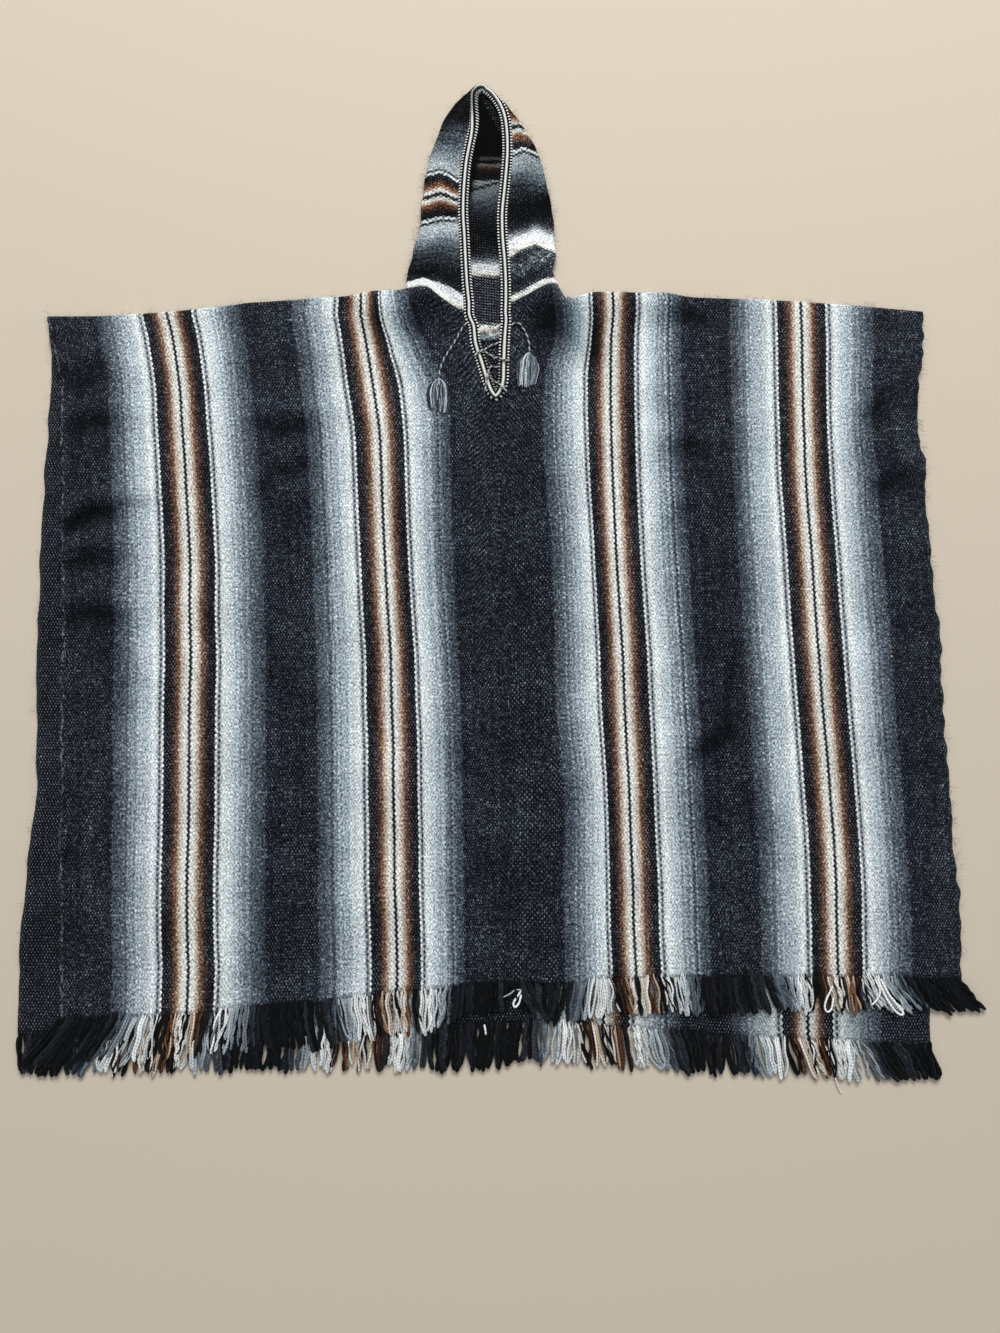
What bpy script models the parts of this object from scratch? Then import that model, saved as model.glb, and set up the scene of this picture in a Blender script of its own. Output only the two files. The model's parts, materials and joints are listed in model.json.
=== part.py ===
"""Hooded wool poncho, laid flat on its back with the hood and its face opening upwards.

Metres, +Z up. +Y runs from the hem to the tip of the hood, +X to the right. The body is one
cloth folded at the shoulders; the hood, its braid, the lace and the fringes are sewn to it.
"""

import bisect
import math
import random
from collections import namedtuple

import bpy

# ---------------------------------------------------------------- driving dimensions
CLOTH = 0.003  # wall of the brushed wool cloth
SEAM = 0.0003  # between pieces that are sewn together or lie on each other
ROLL = 0.002  # how far a soft fold stands above two flat layers
CENTRE = (0.01564, 0.33694)  # middle of the outline, which becomes the frame's X = Y = 0

LAYER_TOP = 2 * CLOTH + SEAM  # top of a flat upper layer
TUCK = 0.002  # cloth past a fold that lies on the floor
HIDDEN_GAP = 0.0009  # between the tuck and the back layer under the hood's folds
FOLD_ANGLES = (60, 30, 0, -30, -60, -90)  # steps round a folded edge, from its top to the floor

BRAID_WIDTH = 0.0125
BRAID_HEIGHT = 0.0036
BRAID_EDGE = 0.0017  # height of the flat stitched borders beside the raised cord
BRAID_CORD = 0.0040  # width of the raised cord's top
BRAID_STEP = 0.0135  # length of one straight piece of the braid
TIP_RADIUS = 0.0070  # turn of the braid at the foot of the neck slit
PEAK_RISE = 0.0165  # how far the braid's turn rises over the face opening
PEAK_DROP = 0.0028  # how far the braid sinks to the back layer at the hood's peak
PEAK_TURNS = 8  # straight pieces of the braid round the peak, and round the slit's foot

SHOULDER_STEPS = 11  # pieces of each shoulder fold between its columns
UPPER_ROWS = 5  # rows of the front from the shoulder to the foot of the slit
LOWER_ROWS = 15  # rows from there to the hem
OUTLINE_STEPS = 26  # pieces of each side edge and of the hem of the back
HOOD_ROWS = 16
HOOD_BACK_STEPS = 14
STRIP = 0.004  # width of the narrow strip that a fringe hangs from
LOCKS = 100  # locks along each hem
LOCK_WIDTH = 0.0074
LOCK_HEIGHT = 0.0020
LOCK_TAPER = 0.55  # width at the tip, as a share of the width at the root

LACE_RADIUS = 0.0014
TASSEL_STRANDS = (7, 2)  # across and through the tassel
TASSEL_RISE = 0.0085  # thickness of a tassel
TASSEL_NECK = 0.30  # width where the lace enters it, as a share of its full width
TASSEL_ROOT = 0.62  # width where the strands leave the head
TASSEL_FILL = 0.80  # share of its thickness that the strands fill

BRAID_REST = 0.0088  # flat cloth beside the braid's middle, which it is sewn to
REST_EDGE = 0.012  # way over which the hood's side rises past that flat cloth
PUFF = 0.0033  # greatest rise of the hood's sides over their folds
MOST_RELIEF = 0.0034  # greatest rise of the front over the back
ROLL_WAY = 0.035  # way over which a shoulder's roll dies out down the front
NECK_FLAT = (0.045, 0.050)  # half width beside the slit with no roll, and the way to full roll
PAST_BACK = (0.012, 0.020)  # how far the front passes the back before it sinks, and that way
HOOD_BACK_TOP = 1.016
HOOD_TIP = (1.030, 0.030)  # where the back of the hood reaches the outline, and the way to it

# ---------------------------------------------------------------- outlines
# Side edges of the body, from the hem up. The back shows past the front on the left,
# and the front passes the back on the right.
Side = namedtuple("Side", "y back_left front_left back_right front_right")
SIDES = (
    Side(-0.310, -0.581, -0.526, 0.564, 0.609),
    Side(-0.180, -0.584, -0.533, 0.568, 0.611),
    Side(-0.070, -0.582, -0.540, 0.572, 0.611),
    Side(0.020, -0.577, -0.544, 0.576, 0.608),
    Side(0.160, -0.585, -0.551, 0.580, 0.606),
    Side(0.300, -0.590, -0.559, 0.584, 0.603),
    Side(0.385, -0.591, -0.564, 0.586, 0.597),
    Side(0.450, -0.592, -0.568, 0.588, 0.602),
    Side(0.510, -0.592, -0.571, 0.587, 0.595),
    Side(0.560, -0.591, -0.574, 0.588, 0.596),
    Side(0.600, -0.592, -0.585, 0.596, 0.604),
    Side(0.640, -0.598, -0.595, 0.600, 0.608),
    Side(0.680, -0.603, -0.602, 0.600, 0.608),
)

# Crest of the fold over the shoulders, from left to right.
Shoulder = namedtuple("Shoulder", "x y")
LEFT_SHOULDER = (
    Shoulder(-0.602, 0.663),
    Shoulder(-0.530, 0.664),
    Shoulder(-0.470, 0.668),
    Shoulder(-0.400, 0.675),
    Shoulder(-0.320, 0.685),
    Shoulder(-0.215, 0.694),
    Shoulder(-0.109, 0.704),
)
RIGHT_SHOULDER = (
    Shoulder(0.1135, 0.694),
    Shoulder(0.160, 0.702),
    Shoulder(0.215, 0.704),
    Shoulder(0.300, 0.698),
    Shoulder(0.400, 0.695),
    Shoulder(0.500, 0.689),
    Shoulder(0.608, 0.680),
)

# Seam between the front and the hood, from the shoulder to the neck slit.
Seam = namedtuple("Seam", "x y")
LEFT_NECK = (
    Seam(-0.1030, 0.7035),
    Seam(-0.0800, 0.7060),
    Seam(-0.0620, 0.6920),
    Seam(-0.0450, 0.6810),
    Seam(-0.0310, 0.6765),
    Seam(-0.0222, 0.6750),
)
RIGHT_NECK = (
    Seam(0.0285, 0.6850),
    Seam(0.0373, 0.6885),
    Seam(0.0480, 0.6935),
    Seam(0.0630, 0.7005),
    Seam(0.0800, 0.7090),
    Seam(0.0958, 0.7125),
)
NECK_CORNER = Seam(0.1020, 0.7065)  # the front beyond the hood, on the right

# Seam between the back and the hood, a scoop seen through the neck slit.
BACK_NECK = (
    Seam(-0.1000, 0.6940),
    Seam(-0.0700, 0.6660),
    Seam(-0.0350, 0.6450),
    Seam(0.0050, 0.6370),
    Seam(0.0450, 0.6450),
    Seam(0.0780, 0.6640),
    Seam(0.1020, 0.6820),
)

# The two hems, where the fringes start.
Hem = namedtuple("Hem", "x front back")
HEMS = (
    Hem(-0.590, -0.270, -0.284),
    Hem(-0.470, -0.265, -0.283),
    Hem(-0.370, -0.262, -0.281),
    Hem(-0.320, -0.254, -0.280),
    Hem(-0.240, -0.251, -0.278),
    Hem(-0.160, -0.240, -0.277),
    Hem(-0.060, -0.231, -0.276),
    Hem(0.030, -0.223, -0.274),
    Hem(0.090, -0.225, -0.272),
    Hem(0.150, -0.219, -0.279),
    Hem(0.300, -0.218, -0.290),
    Hem(0.400, -0.218, -0.296),
    Hem(0.500, -0.218, -0.302),
    Hem(0.612, -0.223, -0.307),
)

# Outline of the hood, from the neck to the peak.
Hood = namedtuple("Hood", "y left right")
HOOD = (
    Hood(0.690, -0.1080, 0.1120),
    Hood(0.712, -0.1075, 0.1005),
    Hood(0.726, -0.1060, 0.0960),
    Hood(0.742, -0.1035, 0.0945),
    Hood(0.762, -0.1000, 0.0975),
    Hood(0.785, -0.0960, 0.0965),
    Hood(0.815, -0.0910, 0.0950),
    Hood(0.850, -0.0885, 0.0910),
    Hood(0.880, -0.0840, 0.0840),
    Hood(0.912, -0.0765, 0.0750),
    Hood(0.945, -0.0645, 0.0630),
    Hood(0.973, -0.0530, 0.0460),
    Hood(0.995, -0.0370, 0.0270),
    Hood(1.010, -0.0240, 0.0120),
    Hood(1.020, -0.0130, 0.0010),
)
HOOD_TOP = {"left": 0.996, "right": 0.990}  # upper ends of the hood's sides

# Middle of the braid round the face opening and the neck slit.
Opening = namedtuple("Opening", "y left right")
OPENING = (
    Opening(0.5575, 0.0085, 0.0225),
    Opening(0.5750, 0.0020, 0.0243),
    Opening(0.6020, -0.0070, 0.0250),
    Opening(0.6260, -0.0120, 0.0258),
    Opening(0.6540, -0.0160, 0.0272),
    Opening(0.6800, -0.0225, 0.0283),
    Opening(0.7130, -0.0250, 0.0288),
    Opening(0.7450, -0.0270, 0.0275),
    Opening(0.7850, -0.0290, 0.0243),
    Opening(0.8210, -0.0310, 0.0238),
    Opening(0.8580, -0.0310, 0.0265),
    Opening(0.8970, -0.0280, 0.0297),
    Opening(0.9170, -0.0245, 0.0308),
    Opening(0.9430, -0.0222, 0.0290),
    Opening(0.9650, -0.0215, 0.0250),
    Opening(0.9810, -0.0208, 0.0190),
    Opening(1.0000, -0.0185, 0.0095),
)
SLIT_FOOT = (0.0150, 0.5575)
HEM_MIDDLE = 0.022  # where the line below the slit meets the hem

# Soft folds of the front: a ridge's middle, heading in degrees from +X, half length,
# half width and height.
Ridge = namedtuple("Ridge", "x y heading length width height")
RIDGES = (
    Ridge(-0.520, 0.590, 4, 0.100, 0.022, 0.0030),
    Ridge(-0.530, 0.525, -3, 0.120, 0.024, 0.0034),
    Ridge(-0.505, 0.455, 6, 0.130, 0.030, 0.0030),
    Ridge(-0.480, 0.330, -8, 0.150, 0.045, 0.0020),
    Ridge(-0.300, 0.600, -62, 0.110, 0.030, 0.0022),
    Ridge(-0.170, 0.520, -75, 0.160, 0.034, 0.0022),
    Ridge(0.150, 0.530, -100, 0.160, 0.034, 0.0022),
    Ridge(0.330, 0.610, -118, 0.110, 0.034, 0.0020),
    Ridge(0.560, 0.490, 10, 0.090, 0.028, 0.0026),
    Ridge(0.555, 0.395, -12, 0.090, 0.026, 0.0024),
    Ridge(0.320, 0.130, 35, 0.180, 0.050, 0.0018),
    Ridge(-0.140, 0.060, -30, 0.200, 0.060, 0.0016),
    Ridge(-0.420, -0.080, 12, 0.180, 0.050, 0.0016),
    Ridge(0.480, -0.110, -16, 0.170, 0.050, 0.0018),
    Ridge(0.080, -0.120, 80, 0.120, 0.050, 0.0014),
)
CALM = (0.002, 0.600, 0.120, 0.100)  # middle and half sizes of the flat place round the neck

# How the fringes fall: sideways lean and length of a lock, along the hem.
Fall = namedtuple("Fall", "x lean front back")
FALLS = (
    Fall(-0.590, -0.016, 0.056, 0.048),
    Fall(-0.500, -0.013, 0.056, 0.048),
    Fall(-0.350, -0.008, 0.056, 0.050),
    Fall(-0.200, -0.002, 0.056, 0.052),
    Fall(-0.050, 0.004, 0.054, 0.054),
    Fall(0.150, 0.003, 0.046, 0.050),
    Fall(0.350, 0.003, 0.044, 0.046),
    Fall(0.500, 0.006, 0.044, 0.044),
    Fall(0.580, 0.012, 0.042, 0.042),
    Fall(0.612, 0.028, 0.034, 0.042),
)

# The free ends of the lace: places along each route, from the braid to the tassel.
LEFT_LACE = ((-0.0245, 0.6565), (-0.0300, 0.6510), (-0.0410, 0.6300), (-0.0550, 0.6060),
             (-0.0605, 0.5920), (-0.0625, 0.5810), (-0.0623, 0.5745))
RIGHT_LACE = ((0.0360, 0.6535), (0.0405, 0.6560), (0.0475, 0.6560), (0.0560, 0.6430),
              (0.0608, 0.6270), (0.0610, 0.6160), (0.0605, 0.6125))

# Lacing across the slit: places with the height of the lace's middle.
OVER = LAYER_TOP + BRAID_HEIGHT + 2 * SEAM + LACE_RADIUS  # across the top of the braid
UNDER = 0.0048  # between the back layer and the braid
CROSSINGS = {
    "lace_cross_upper": ((-0.0175, 0.6010, OVER), (-0.0095, 0.6065, OVER), (-0.0035, 0.6120, 0.0113),
                         (0.0040, 0.6185, 0.0070), (0.0110, 0.6245, UNDER), (0.0215, 0.6330, UNDER)),
    "lace_cross_middle": ((-0.0075, 0.6255, UNDER), (0.0010, 0.6120, UNDER), (0.0055, 0.6065, 0.0075),
                          (0.0120, 0.6030, 0.0105), (0.0180, 0.6010, OVER), (0.0255, 0.5995, OVER),
                          (0.0335, 0.5990, OVER)),
    "lace_cross_lower": ((0.0020, 0.5800, UNDER), (0.0080, 0.5830, UNDER), (0.0140, 0.5850, UNDER),
                         (0.0205, 0.5855, UNDER)),
    "lace_cross_foot": ((-0.0060, 0.5760, OVER), (0.0040, 0.5740, OVER), (0.0105, 0.5715, OVER),
                        (0.0170, 0.5680, OVER), (0.0250, 0.5640, OVER), (0.0310, 0.5610, OVER)),
}

Tassel = namedtuple("Tassel", "x y heading head width length")
TASSELS = {
    "tassel_left": Tassel(-0.0620, 0.5740, -80, 0.014, 0.026, 0.034),
    "tassel_right": Tassel(0.0605, 0.6120, -95, 0.014, 0.028, 0.043),
}

# Head of a tassel behind its strands: rings at shares of its length, with shares of the
# root's width and of the thickness.
HeadRing = namedtuple("HeadRing", "along width lowest tall")
TASSEL_HEAD = (
    HeadRing(0.55, 0.95, 0.03, 0.86),
    HeadRing(0.12, TASSEL_NECK / TASSEL_ROOT, 0.10, 0.50),
)

# A tassel's strand: sections at shares of its length, with the tassel's spread and the
# strand's own thickness there.
StrandRing = namedtuple("StrandRing", "at width size")
STRAND = (
    StrandRing(0.35, 1.00, 0.95),
    StrandRing(0.70, 0.98, 0.90),
    StrandRing(1.00, 0.80, 0.50),
)

COLOURS = {
    "charcoal": (0.030, 0.031, 0.036),
    "grey": (0.300, 0.320, 0.345),
    "ivory": (0.620, 0.590, 0.520),
    "mixed_yarn": (0.190, 0.200, 0.215),
}


# ---------------------------------------------------------------- curves
def smooth(table, key, column, at):
    """A column's value at a place along the table, on a smooth curve through its rows."""
    keys = [getattr(row, key) for row in table]
    values = [getattr(row, column) for row in table]
    i = min(max(bisect.bisect_right(keys, at) - 1, 0), len(keys) - 2)

    def slope(k):
        low, high = max(k - 1, 0), min(k + 1, len(keys) - 1)
        return (values[high] - values[low]) / (keys[high] - keys[low])

    span = keys[i + 1] - keys[i]
    t = min(max((at - keys[i]) / span, 0.0), 1.0)
    return (
        values[i] * (2 * t**3 - 3 * t**2 + 1)
        + values[i + 1] * (3 * t**2 - 2 * t**3)
        + span * slope(i) * (t**3 - 2 * t**2 + t)
        + span * slope(i + 1) * (t**3 - t**2)
    )


def mix(a, b, t):
    return a + (b - a) * t


def ease(t):
    """0 up to t = 0, 1 from t = 1, and a soft step between them."""
    t = min(max(t, 0.0), 1.0)
    return t * t * (3 - 2 * t)


def route(points, steps):
    """Points along a smooth curve through the given ones (Catmull-Rom)."""
    found = []
    last = len(points) - 1
    for i in range(last):
        a, b, c, d = (points[min(max(i + k, 0), last)] for k in (-1, 0, 1, 2))
        for step in range(steps):
            t = step / steps
            found.append(tuple(
                0.5 * (2 * q + (r - p) * t + (2 * p - 5 * q + 4 * r - s) * t**2
                       + (3 * q - p - 3 * r + s) * t**3)
                for p, q, r, s in zip(a, b, c, d)
            ))
    return found + [tuple(points[-1])]


# ---------------------------------------------------------------- building
def place(points):
    return [(x - CENTRE[0], y - CENTRE[1], z) for x, y, z in points]


def make(name, points, faces, colour, flat=False):
    """One object with its own material."""
    mesh = bpy.data.meshes.new(name)
    mesh.from_pydata(place(points), [], faces)
    mesh.validate()
    if not flat:
        mesh.shade_smooth()
        mesh.set_sharp_from_angle(angle=math.radians(40))
    mesh.materials.append(material(name, colour))
    obj = bpy.data.objects.new(name, mesh)
    bpy.context.scene.collection.objects.link(obj)
    return obj


def material(name, colour):
    made = bpy.data.materials.new(name)
    made.use_nodes = True
    shader = made.node_tree.nodes["Principled BSDF"]
    shader.inputs["Base Color"].default_value = (*COLOURS[colour], 1.0)
    shader.inputs["Roughness"].default_value = 0.95
    shader.inputs["Metallic"].default_value = 0.0
    return made


def wall(name, outer, inner, quads, colour):
    """A closed wall: the outer sheet, the inner sheet turned over, and a rim along the open edges."""
    count = len(outer)
    edges = {}
    for quad in quads:
        for a, b in zip(quad, quad[1:] + quad[:1]):
            if (b, a) in edges:
                del edges[b, a]
            else:
                edges[a, b] = True
    faces = list(quads)
    faces += [tuple(count + i for i in reversed(quad)) for quad in quads]
    faces += [(b, a, count + a, count + b) for a, b in edges]
    return make(name, outer + inner, faces, colour)


def slab(name, outline, colour):
    """A flat layer of cloth on the floor, from its outline taken anticlockwise."""
    count = len(outline)
    points = [(x, y, CLOTH) for x, y in outline] + [(x, y, 0.0) for x, y in outline]
    faces = [tuple(range(count)), tuple(reversed(range(count, 2 * count)))]
    faces += [(i, count + i, count + (i + 1) % count, (i + 1) % count) for i in range(count)]
    return make(name, points, faces, colour, flat=True)


def folded_edge(top, away):
    """Outer and inner points round a fold, from its crest to the tuck on the floor.

    top is the point where the upper layer starts to turn, and away the unit direction out of
    the cloth.
    """
    radius = top[2] / 2
    inside = max(radius - CLOTH, SEAM)
    outer, inner = [], []
    for angle in FOLD_ANGLES:
        out, up = math.cos(math.radians(angle)), math.sin(math.radians(angle))
        for ring, r in ((outer, radius), (inner, inside)):
            ring.append((top[0] + away[0] * r * out, top[1] + away[1] * r * out, radius + r * up))
    floor = outer[-1]
    outer.append((floor[0] - away[0] * TUCK, floor[1] - away[1] * TUCK, 0.0))
    inner.append((outer[-1][0], outer[-1][1], inner[-1][2]))
    return outer, inner


# ---------------------------------------------------------------- the front
def relief(x, y):
    """Rise of the front over a flat layer, in its soft folds."""
    rise = 0.0
    for ridge in RIDGES:
        turn = math.radians(ridge.heading)
        dx, dy = x - ridge.x, y - ridge.y
        along = (dx * math.cos(turn) + dy * math.sin(turn)) / ridge.length
        across = (dy * math.cos(turn) - dx * math.sin(turn)) / ridge.width
        rise += ridge.height * math.exp(-(across**2) - along**4)
    away = math.hypot((x - CALM[0]) / CALM[2], (y - CALM[1]) / CALM[3])
    return min(rise, MOST_RELIEF) * ease((away - 1.0) / 0.5)


def middle(side, y):
    """The inner edge of one half of the front: the slit's edge, then the line below it."""
    foot_x, foot_y = SLIT_FOOT
    if y > foot_y + 1e-6:
        return smooth(OPENING, "y", side, y)
    return mix(foot_x, HEM_MIDDLE, (foot_y - y) / (foot_y - HEMS[7].front))


def front_columns(side):
    """Places where the top edge of one half of the front has a column, with its fold's radius."""
    if side == "left":
        low, high = LEFT_SHOULDER[0].x + CLOTH, LEFT_SHOULDER[-1].x
        xs = [mix(low, high, i / SHOULDER_STEPS) for i in range(SHOULDER_STEPS + 1)]
        columns = [(x, smooth(LEFT_SHOULDER, "x", "y", x), True) for x in xs]
        return columns + [(seam.x, seam.y, False) for seam in LEFT_NECK]
    low, high = RIGHT_SHOULDER[0].x, SIDES[-1].back_right + CLOTH
    xs = [mix(low, high, i / SHOULDER_STEPS) for i in range(SHOULDER_STEPS + 1)]
    columns = [(seam.x, seam.y, False) for seam in RIGHT_NECK + (NECK_CORNER,)]
    return columns + [(x, smooth(RIGHT_SHOULDER, "x", "y", x), True) for x in xs]


def front_top(x, y, shoulder):
    """Height of the front's upper face."""
    beside = ease((abs(x - CALM[0]) - NECK_FLAT[0]) / NECK_FLAT[1])
    roll = ROLL * ease(1 - (shoulder - y) / ROLL_WAY) * beside
    return LAYER_TOP + max(relief(x, y), roll)


def front_column(side, x, crest, folded):
    """Upper points down one column of the front, from its top edge to its hem."""
    top = crest - (LAYER_TOP + ROLL) / 2 if folded else crest
    edge = "front_left" if side == "left" else "back_right"
    inset = 0.0 if side == "left" else CLOTH
    outside = smooth(SIDES, "y", edge, top) + inset
    share = (x - outside) / (middle(side, top) - outside)
    points = []
    foot_y = SLIT_FOOT[1]
    near_hem = HEMS[7].front
    hem = smooth(HEMS, "x", "front",
                 mix(smooth(SIDES, "y", edge, near_hem) + inset, middle(side, near_hem), share))
    ys = [mix(top, foot_y, i / UPPER_ROWS) for i in range(UPPER_ROWS)]
    ys += [mix(foot_y, hem, i / LOWER_ROWS) for i in range(LOWER_ROWS + 1)]
    for y in ys:
        outside = smooth(SIDES, "y", edge, y) + inset
        inside = SLIT_FOOT[0] if abs(y - foot_y) < 1e-6 else middle(side, y)
        px = mix(outside, inside, share)
        points.append((px, y, front_top(px, y, crest)))
    return points


def front_edge_column(neighbour):
    """The front's right edge, which passes the back and sinks to the floor there."""
    points = []
    for _, y, z in neighbour:
        past = smooth(SIDES, "y", "front_right", y) - smooth(SIDES, "y", "back_right", y)
        sink = (LAYER_TOP - CLOTH - SEAM) * ease((past - PAST_BACK[0]) / PAST_BACK[1])
        points.append((smooth(SIDES, "y", "front_right", y), y, z - sink))
    return points


def front_neck(side):
    """Points of the front's top edge that the hood is sewn to."""
    seams = LEFT_NECK if side == "left" else RIGHT_NECK
    return [front_column(side, seam.x, seam.y, False)[0] for seam in seams]


def build_front():
    """The front with its shoulder folds. Gives back the underside of its hem, left to right."""
    outer, inner, quads = [], [], []
    numbers, hem = {}, []

    def add(point, below):
        outer.append(point)
        inner.append(below)
        return len(outer) - 1

    def add_column(key, points):
        numbers[key] = [add(p, (p[0], p[1], p[2] - CLOTH)) for p in points]

    def add_fold(key, top):
        ring, inside = folded_edge(top, (0.0, 1.0))
        numbers[key, "fold"] = [add(a, b) for a, b in zip(ring, inside)]

    def join(a, b, reverse=False):
        """Quads between two lists of point numbers, a to the left of b."""
        for i in range(len(a) - 1):
            quad = (a[i], a[i + 1], b[i + 1], b[i])
            quads.append(quad[::-1] if reverse else quad)

    for side in ("left", "right"):
        columns = front_columns(side)
        for i, (x, crest, folded) in enumerate(columns):
            points = front_column(side, x, crest, folded)
            hem.append((points[-1][0], points[-1][1], points[-1][2] - CLOTH))
            add_column((side, i), points)
            if folded:
                add_fold((side, i), points[0])
        if side == "right":
            points = front_edge_column(points)
            columns.append((points[0][0], RIGHT_SHOULDER[-1].y, True))
            add_column((side, len(columns) - 1), points)
            add_fold((side, len(columns) - 1), points[0])
            hem.append((points[-1][0], points[-1][1], points[-1][2] - CLOTH))
            # The halves share their middle points below the slit.
            shared = numbers["left", len(front_columns("left")) - 1]
            numbers["right", 0][UPPER_ROWS:] = shared[UPPER_ROWS:]
        for i in range(len(columns) - 1):
            join(numbers[side, i], numbers[side, i + 1])
            if columns[i][2] and columns[i + 1][2]:
                folds = [[numbers[side, k][0]] + numbers[(side, k), "fold"] for k in (i, i + 1)]
                join(*folds, reverse=True)
    used = sorted({i for quad in quads for i in quad})
    renumber = {old: new for new, old in enumerate(used)}
    quads = [tuple(renumber[i] for i in quad) for quad in quads]
    wall("front_panel", [outer[i] for i in used], [inner[i] for i in used], quads, "charcoal")
    return hem


# ---------------------------------------------------------------- the back
def build_back():
    """The back, one flat layer. Gives back the underside of its hem, left to right."""
    fold = (LAYER_TOP + ROLL) / 2 + TUCK + SEAM
    left_top = LEFT_SHOULDER[0].y - fold
    right_top = RIGHT_SHOULDER[-1].y - fold
    left, right = SIDES[0].back_left, SIDES[0].back_right
    hem_left, hem_right = (smooth(HEMS, "x", "back", x) for x in (left, right))
    steps = OUTLINE_STEPS
    outline, hem = [], []
    for i in range(steps):
        y = mix(left_top, hem_left, i / steps)
        outline.append((smooth(SIDES, "y", "back_left", y), y))
    for i in range(steps):
        x = mix(left, right, i / steps)
        hem.append((x, smooth(HEMS, "x", "back", x), 0.0))
    outline += [(x, y) for x, y, _ in hem]
    hem.append((right, hem_right, 0.0))
    for i in range(steps):
        y = mix(hem_right, right_top, i / steps)
        outline.append((smooth(SIDES, "y", "back_right", y), y))
    for i in range(SHOULDER_STEPS, -1, -1):
        x = mix(RIGHT_SHOULDER[0].x, SIDES[-1].back_right, i / SHOULDER_STEPS)
        outline.append((x, smooth(RIGHT_SHOULDER, "x", "y", x) - fold))
    outline += [(seam.x, seam.y) for seam in reversed(BACK_NECK)]
    for i in range(SHOULDER_STEPS, 0, -1):
        x = mix(SIDES[-1].back_left + CLOTH, LEFT_SHOULDER[-1].x, i / SHOULDER_STEPS)
        outline.append((x, smooth(LEFT_SHOULDER, "x", "y", x) - fold))
    slab("back_panel", outline, "charcoal")
    return hem


# ---------------------------------------------------------------- the hood
def build_hood_back():
    inset = (LAYER_TOP + ROLL) / 2 + TUCK + HIDDEN_GAP
    outline = [(seam.x, seam.y + SEAM) for seam in BACK_NECK]
    sides = {}
    for side, sign in (("left", 1), ("right", -1)):
        sides[side] = []
        for i in range(HOOD_BACK_STEPS + 1):
            y = mix(HOOD[1].y, HOOD_BACK_TOP, i / HOOD_BACK_STEPS)
            x = smooth(HOOD, "y", side, y) + sign * inset * ease((HOOD_TIP[0] - y) / HOOD_TIP[1])
            sides[side].append((x, y))
    outline += sides["right"] + sides["left"][::-1]
    slab("hood_back", outline, "grey")


def hood_rise(distance, share, climb):
    """Height of a hood side's upper face, flat beside the braid and puffed towards its fold."""
    clear = ease((distance - BRAID_REST) / REST_EDGE)
    roll = ROLL * ease(1 - share / 0.35)
    puff = PUFF * math.sin(math.pi * share) * ease(climb / 0.10) * ease((1 - climb) / 0.20)
    return LAYER_TOP + clear * max(roll, puff)


def build_hood_side(side):
    """One side of the hood: folded at its outline, sewn to the front's neck edge, open at the braid."""
    neck = front_neck(side)
    if side == "right":
        neck = neck[::-1]
    out = -1.0 if side == "left" else 1.0
    shares = [(p[0] - neck[0][0]) / (neck[-2][0] - neck[0][0]) for p in neck[:-1]]
    outer, inner, quads = [], [], []
    for row in range(HOOD_ROWS + 1):
        climb = row / HOOD_ROWS
        line = []
        for share, seam in zip(shares + [None], neck):
            y = mix(seam[1] + SEAM, HOOD_TOP[side], climb)
            radius = LAYER_TOP / 2 + ROLL / 2 * (1 - climb**6)
            outside = smooth(HOOD, "y", side, y) - out * radius
            inside = smooth(OPENING, "y", side, min(y, OPENING[-1].y))
            if row == 0:
                line.append((seam[0], y, seam[2]))
            elif share is None:
                line.append((inside, y, LAYER_TOP))
            else:
                x = mix(outside, inside + out * BRAID_REST, share)
                line.append((x, y, hood_rise(abs(x - inside), share, climb)))
        ring, inside_ring = folded_edge(line[0], (out, 0.0))
        outer += ring[::-1] + line
        inner += inside_ring[::-1] + [(x, y, z - CLOTH) for x, y, z in line]
    width = len(FOLD_ANGLES) + 1 + len(neck)
    for row in range(HOOD_ROWS):
        for i in range(width - 1):
            a = row * width + i
            quad = (a, a + 1, a + 1 + width, a + width)
            quads.append(quad if side == "left" else quad[::-1])
    wall(f"hood_{side}", outer, inner, quads, "grey")


# ---------------------------------------------------------------- the braid
def braid_path():
    """Closed path of the braid's middle, up its left side and down its right."""
    low, high = OPENING[0].y, OPENING[-1].y
    steps = round((high - low) / BRAID_STEP)
    ys = [mix(low, high, i / steps) for i in range(steps + 1)]
    path = [(smooth(OPENING, "y", "left", y), y) for y in ys]
    centre = (OPENING[-1].left + OPENING[-1].right) / 2
    reach = (OPENING[-1].right - OPENING[-1].left) / 2
    for i in range(1, PEAK_TURNS):
        turn = math.pi * (1 - i / PEAK_TURNS)
        path.append((centre + reach * math.cos(turn), high + PEAK_RISE * math.sin(turn)))
    path += [(smooth(OPENING, "y", "right", y), y) for y in reversed(ys)]
    centre = (OPENING[0].left + OPENING[0].right) / 2
    for i in range(1, PEAK_TURNS):
        turn = -math.pi * i / PEAK_TURNS
        path.append((centre + TIP_RADIUS * math.cos(turn), low + TIP_RADIUS * math.sin(turn)))
    return path


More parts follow.
